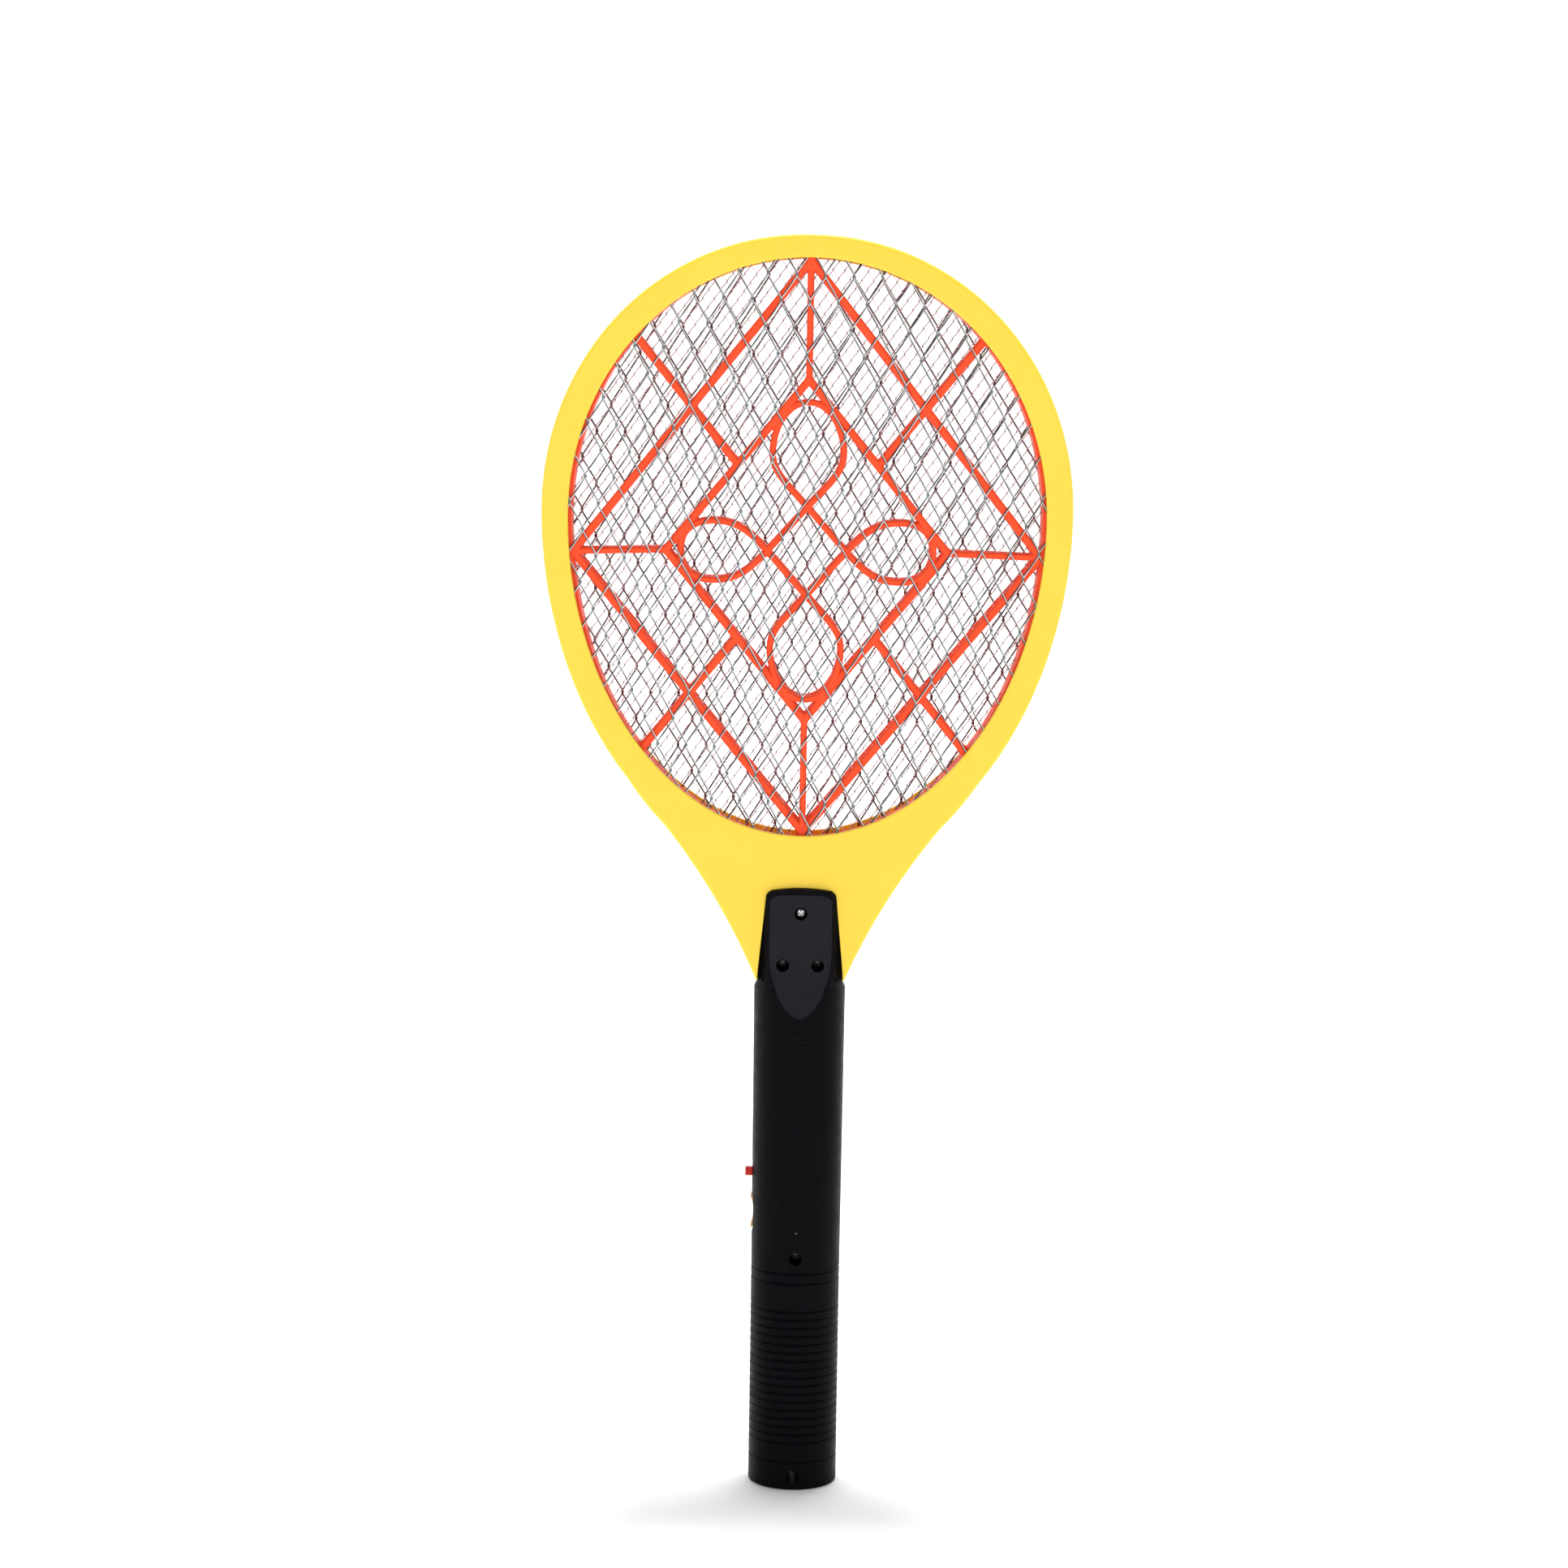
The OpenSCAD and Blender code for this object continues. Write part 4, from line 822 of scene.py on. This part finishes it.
def screw(name, at, seat, tip, look, stands_for):
    """A pan-head screw with a cross recess, along Y, its head's underside at the depth seat."""
    profile = [(0.5, -seat - tip), (SHANK_R, 1 - seat - tip), (SHANK_R, 0), (HEAD_R - 0.1, 0), (HEAD_R, 0.1)]
    profile += [(HEAD_R * math.cos(a) ** 0.6, HEAD_WALL_H + (HEAD_H - HEAD_WALL_H) * math.sin(a))
                for a in np.radians(np.arange(0, 86, 8.5))]
    sides = 48
    points = [(at[0] + r * math.cos(t), -(seat + h), at[1] + r * math.sin(t)) for r, h in profile
              for t in np.linspace(0, 2 * math.pi, sides, endpoint=False)]
    last = sides * (len(profile) - 1)
    faces = [(a + i, a + (i + 1) % sides, a + sides + (i + 1) % sides, a + sides + i)
             for a in range(0, last, sides) for i in range(sides)]
    faces += [tuple(range(sides)), tuple(range(last + sides - 1, last - 1, -1))]
    obj = piece(name, points, faces)
    top, bottom = -(seat + HEAD_H + 0.2), -(seat + HEAD_H - RECESS_DEPTH)
    arms = ((RECESS_LONG, RECESS_WIDE), (RECESS_WIDE, RECESS_LONG))
    cut(obj, [wedge(at, top, bottom, along, across) for along, across in arms])
    finish_piece(obj, "racket", "screw_steel", look, stands_for)


# The top screw gets plain steel; the low neck screws and the grip screw get the darkened steel, painted shade
# for their deep holes.
screw("neck_screw_top", TOP_SCREW_AT, TOP_SEAT, NECK_TIP, LOOKS["screw_steel"], "neck_screws")
for name, side in (("neck_screw_left", -1), ("neck_screw_right", 1)):
    at = (side * LOW_SCREW_AT[0], LOW_SCREW_AT[1])
    screw(name, at, LOW_HEAD_DEPTH, NECK_TIP, deep_screw_shade, "neck_screws")
screw("grip_screw", GRIP_SCREW_AT, GRIP_SEAT, GRIP_TIP, deep_screw_shade, "handle_screw")


def screw_well(name, at):
    """The black collar that lines a low screw's hole through the yellow neck."""
    low, high = LOW_HEAD_DEPTH + 0.2, BED_DEPTH + 0.6
    wall = ((WELL_R, low), (WELL_OUTER_R, low), (WELL_OUTER_R, high), (WELL_R, high))
    rings = [np.array([(at[0] + r * math.cos(t), -depth, at[1] + r * math.sin(t)) for r, depth in wall])
             for t in np.linspace(0, 2 * math.pi, 48, endpoint=False)]
    obj = piece(name, *ring_tube(rings))
    finish_piece(obj, "racket", "black_plastic", LOOKS["black_plastic"])


for name, side in (("screw_well_left", -1), ("screw_well_right", 1)):
    screw_well(name, (side * LOW_SCREW_AT[0], LOW_SCREW_AT[1]))


# ======== lip behind the handle's seam ========

LIP_HALF_W = 1.2
LIP_T = 0.4
LIP_CHAMFER = 0.1
LIP_RUN = ((3, 14.6), (96, 14.6), (189, 14.97))    # levels, and how far out the lip stands there


def seam_lip():
    """The narrow lip on the wall opposite the controls, which keeps light out of the seam."""
    half_w = LIP_HALF_W
    section = ((-LIP_T, -half_w), (0, LIP_CHAMFER - half_w), (0, half_w - LIP_CHAMFER), (-LIP_T, half_w))
    points = [(out + x, y, z) for z, out in LIP_RUN for x, y in section]
    last = len(points) - 4
    faces = [(a + i, a + (i + 1) % 4, a + 4 + (i + 1) % 4, a + 4 + i)
             for a in range(0, last, 4) for i in range(4)]
    faces += [(3, 2, 1, 0), (last, last + 1, last + 2, last + 3)]
    obj = piece("seam_lip", points, faces)
    finish_piece(obj, "racket", "black_plastic", LOOKS["black_plastic"])


seam_lip()


# ======== controls and plug ========

def softened(node, name, body, slot, width):
    """A copy of a CAD node whose sharp edges are rounded off, in its place."""
    mesh = frame["nodes"][node].data.copy()
    obj = bpy.data.objects.new(name, mesh)
    bpy.context.scene.collection.objects.link(obj)
    bm = bmesh.new()
    bm.from_mesh(mesh)
    bmesh.ops.remove_doubles(bm, verts=bm.verts, dist=0.002 * MM)
    bmesh.ops.dissolve_limit(bm, angle_limit=math.radians(1), verts=bm.verts, edges=bm.edges)
    bm.to_mesh(mesh)
    bm.free()
    step = obj.modifiers.new("rounding", "BEVEL")
    step.width = width * MM
    step.segments = 3
    step.limit_method = "ANGLE"
    step.angle_limit = math.radians(35)
    settle(obj)
    shade(obj.data, 50)
    return finish_piece(obj, body, slot, LOOKS[slot], node)


softened("slide_switch_knob", "slide_knob_cap", "slide_switch", "switch_red", 0.3)
softened("push_button_cap", "button_cap", "push_button", "button_amber", 0.25)
softened("plug_slider", "plug_slider_pad", "charging_plug", "black_plastic", 0.25)
softened("plug_pins", "plug_pin_pair", "charging_plug", "pin_brass", 0.2)


# ======== studio ========

def area_light(name, at, target, size, watts):
    data = bpy.data.lights.new(name, "AREA")
    data.shape = "RECTANGLE"
    data.size, data.size_y = size
    data.energy = watts
    light = bpy.data.objects.new(name, data)
    bpy.context.scene.collection.objects.link(light)
    light.location = at
    light.rotation_euler = (Vector(target) - Vector(at)).to_track_quat("-Z", "Y").to_euler()


SUN_STRENGTH = 3.3
PAPER_WHITE = 0.87
BACKDROP_BEND = 2.0     # radius in metres, like the studio's other sizes
LOW_GLOW = 1.05         # brightness of the surroundings, low down and overhead
HIGH_GLOW = 0.3
CAMERA_AT = (-0.00704, -1.320, 0.4144)
CAMERA_PITCH = 6.43     # degrees down
CAMERA_ROLL = 0.89
CAMERA_LENS = 81.82


def backdrop():
    """A floor that turns up into a wall behind the object without a corner."""
    half, bend_at, top = 30.0, 3.0, 7.0
    profile = [(-half, 0.0)]
    profile += [(bend_at + BACKDROP_BEND * math.sin(a), BACKDROP_BEND * (1 - math.cos(a)))
                for a in np.linspace(0, math.pi / 2, 25)]
    profile.append((bend_at + BACKDROP_BEND, top))
    points = [(x, y, z) for y, z in profile for x in (-half, half)]
    faces = [(2 * k, 2 * k + 1, 2 * k + 3, 2 * k + 2) for k in range(len(profile) - 1)]
    mesh = bpy.data.meshes.new("backdrop")
    mesh.from_pydata(points, [], faces)
    mesh.shade_smooth()
    obj = bpy.data.objects.new("backdrop", mesh)
    bpy.context.scene.collection.objects.link(obj)
    mesh.materials.append(backdrop_paper())


def backdrop_paper():
    """White paper, lit from behind where it turns up by as much as it loses of the light from overhead."""
    look = surface("pale_paper", (PAPER_WHITE,) * 3, 0.9, shift=0.002, patch=400, grain=4,
                   grain_depth=0.01, Specular_IOR_Level=0.0)
    tree = look.node_tree
    shader = tree.nodes["Principled BSDF"]
    shader.inputs["Emission Color"].default_value = (1, 1, 1, 1)
    place = node_at(tree, "ShaderNodeTexCoord", -900, -700)
    parts = node_at(tree, "ShaderNodeSeparateXYZ", -700, -700)
    tree.links.new(place.outputs["Object"], parts.inputs["Vector"])
    glow = node_at(tree, "ShaderNodeMapRange", -500, -700)
    glow.inputs["From Max"].default_value = BACKDROP_BEND
    glow.inputs["To Max"].default_value = PAPER_WHITE * SUN_STRENGTH / math.pi
    tree.links.new(parts.outputs["Z"], glow.inputs["Value"])
    tree.links.new(glow.outputs["Result"], shader.inputs["Emission Strength"])
    return look


def surroundings():
    """Dim white overhead, and bright low down, where the surroundings show past the floor's edges."""
    world = bpy.data.worlds.new("white_studio")
    bpy.context.scene.world = world
    world.use_nodes = True
    tree = world.node_tree
    background = tree.nodes["Background"]
    background.inputs["Color"].default_value = (1, 1, 1, 1)
    height = split(tree, node_at(tree, "ShaderNodeTexCoord", -900, 0).outputs["Generated"])["Z"]
    fade = node_at(tree, "ShaderNodeMapRange", -500, 0)
    for socket, value in (("From Min", 0.12), ("From Max", 0.3), ("To Min", LOW_GLOW), ("To Max", HIGH_GLOW)):
        fade.inputs[socket].default_value = value
    tree.links.new(height, fade.inputs["Value"])
    tree.links.new(fade.outputs["Result"], background.inputs["Strength"])


def studio():
    surroundings()
    backdrop()

    overhead = bpy.data.lights.new("overhead", "SUN")
    overhead.energy = SUN_STRENGTH
    overhead.angle = math.radians(17)
    lamp = bpy.data.objects.new("overhead", overhead)
    bpy.context.scene.collection.objects.link(lamp)
    lamp.rotation_euler = Vector((0.03, 0.11, 1.0)).to_track_quat("Z", "Y").to_euler()
    area_light("key_softbox", (-0.9, -2.0, 0.55), (0, 0, 0.30), (1.4, 0.9), 6.7)
    area_light("fill_softbox", (1.0, -2.0, 0.45), (0, 0, 0.30), (1.4, 0.8), 5.3)
    bpy.context.scene.view_settings.view_transform = "Standard"


def camera():
    data = bpy.data.cameras.new("camera")
    data.sensor_width = 36
    data.lens = CAMERA_LENS
    data.clip_end = 100
    obj = bpy.data.objects.new("camera", data)
    bpy.context.scene.collection.objects.link(obj)
    obj.location = CAMERA_AT
    pitch, roll = math.radians(90 - CAMERA_PITCH), math.radians(CAMERA_ROLL)
    obj.rotation_euler = (Euler((pitch, 0, 0)).to_matrix() @ Euler((0, 0, roll)).to_matrix()).to_euler()
    bpy.context.scene.camera = obj


studio()
camera()
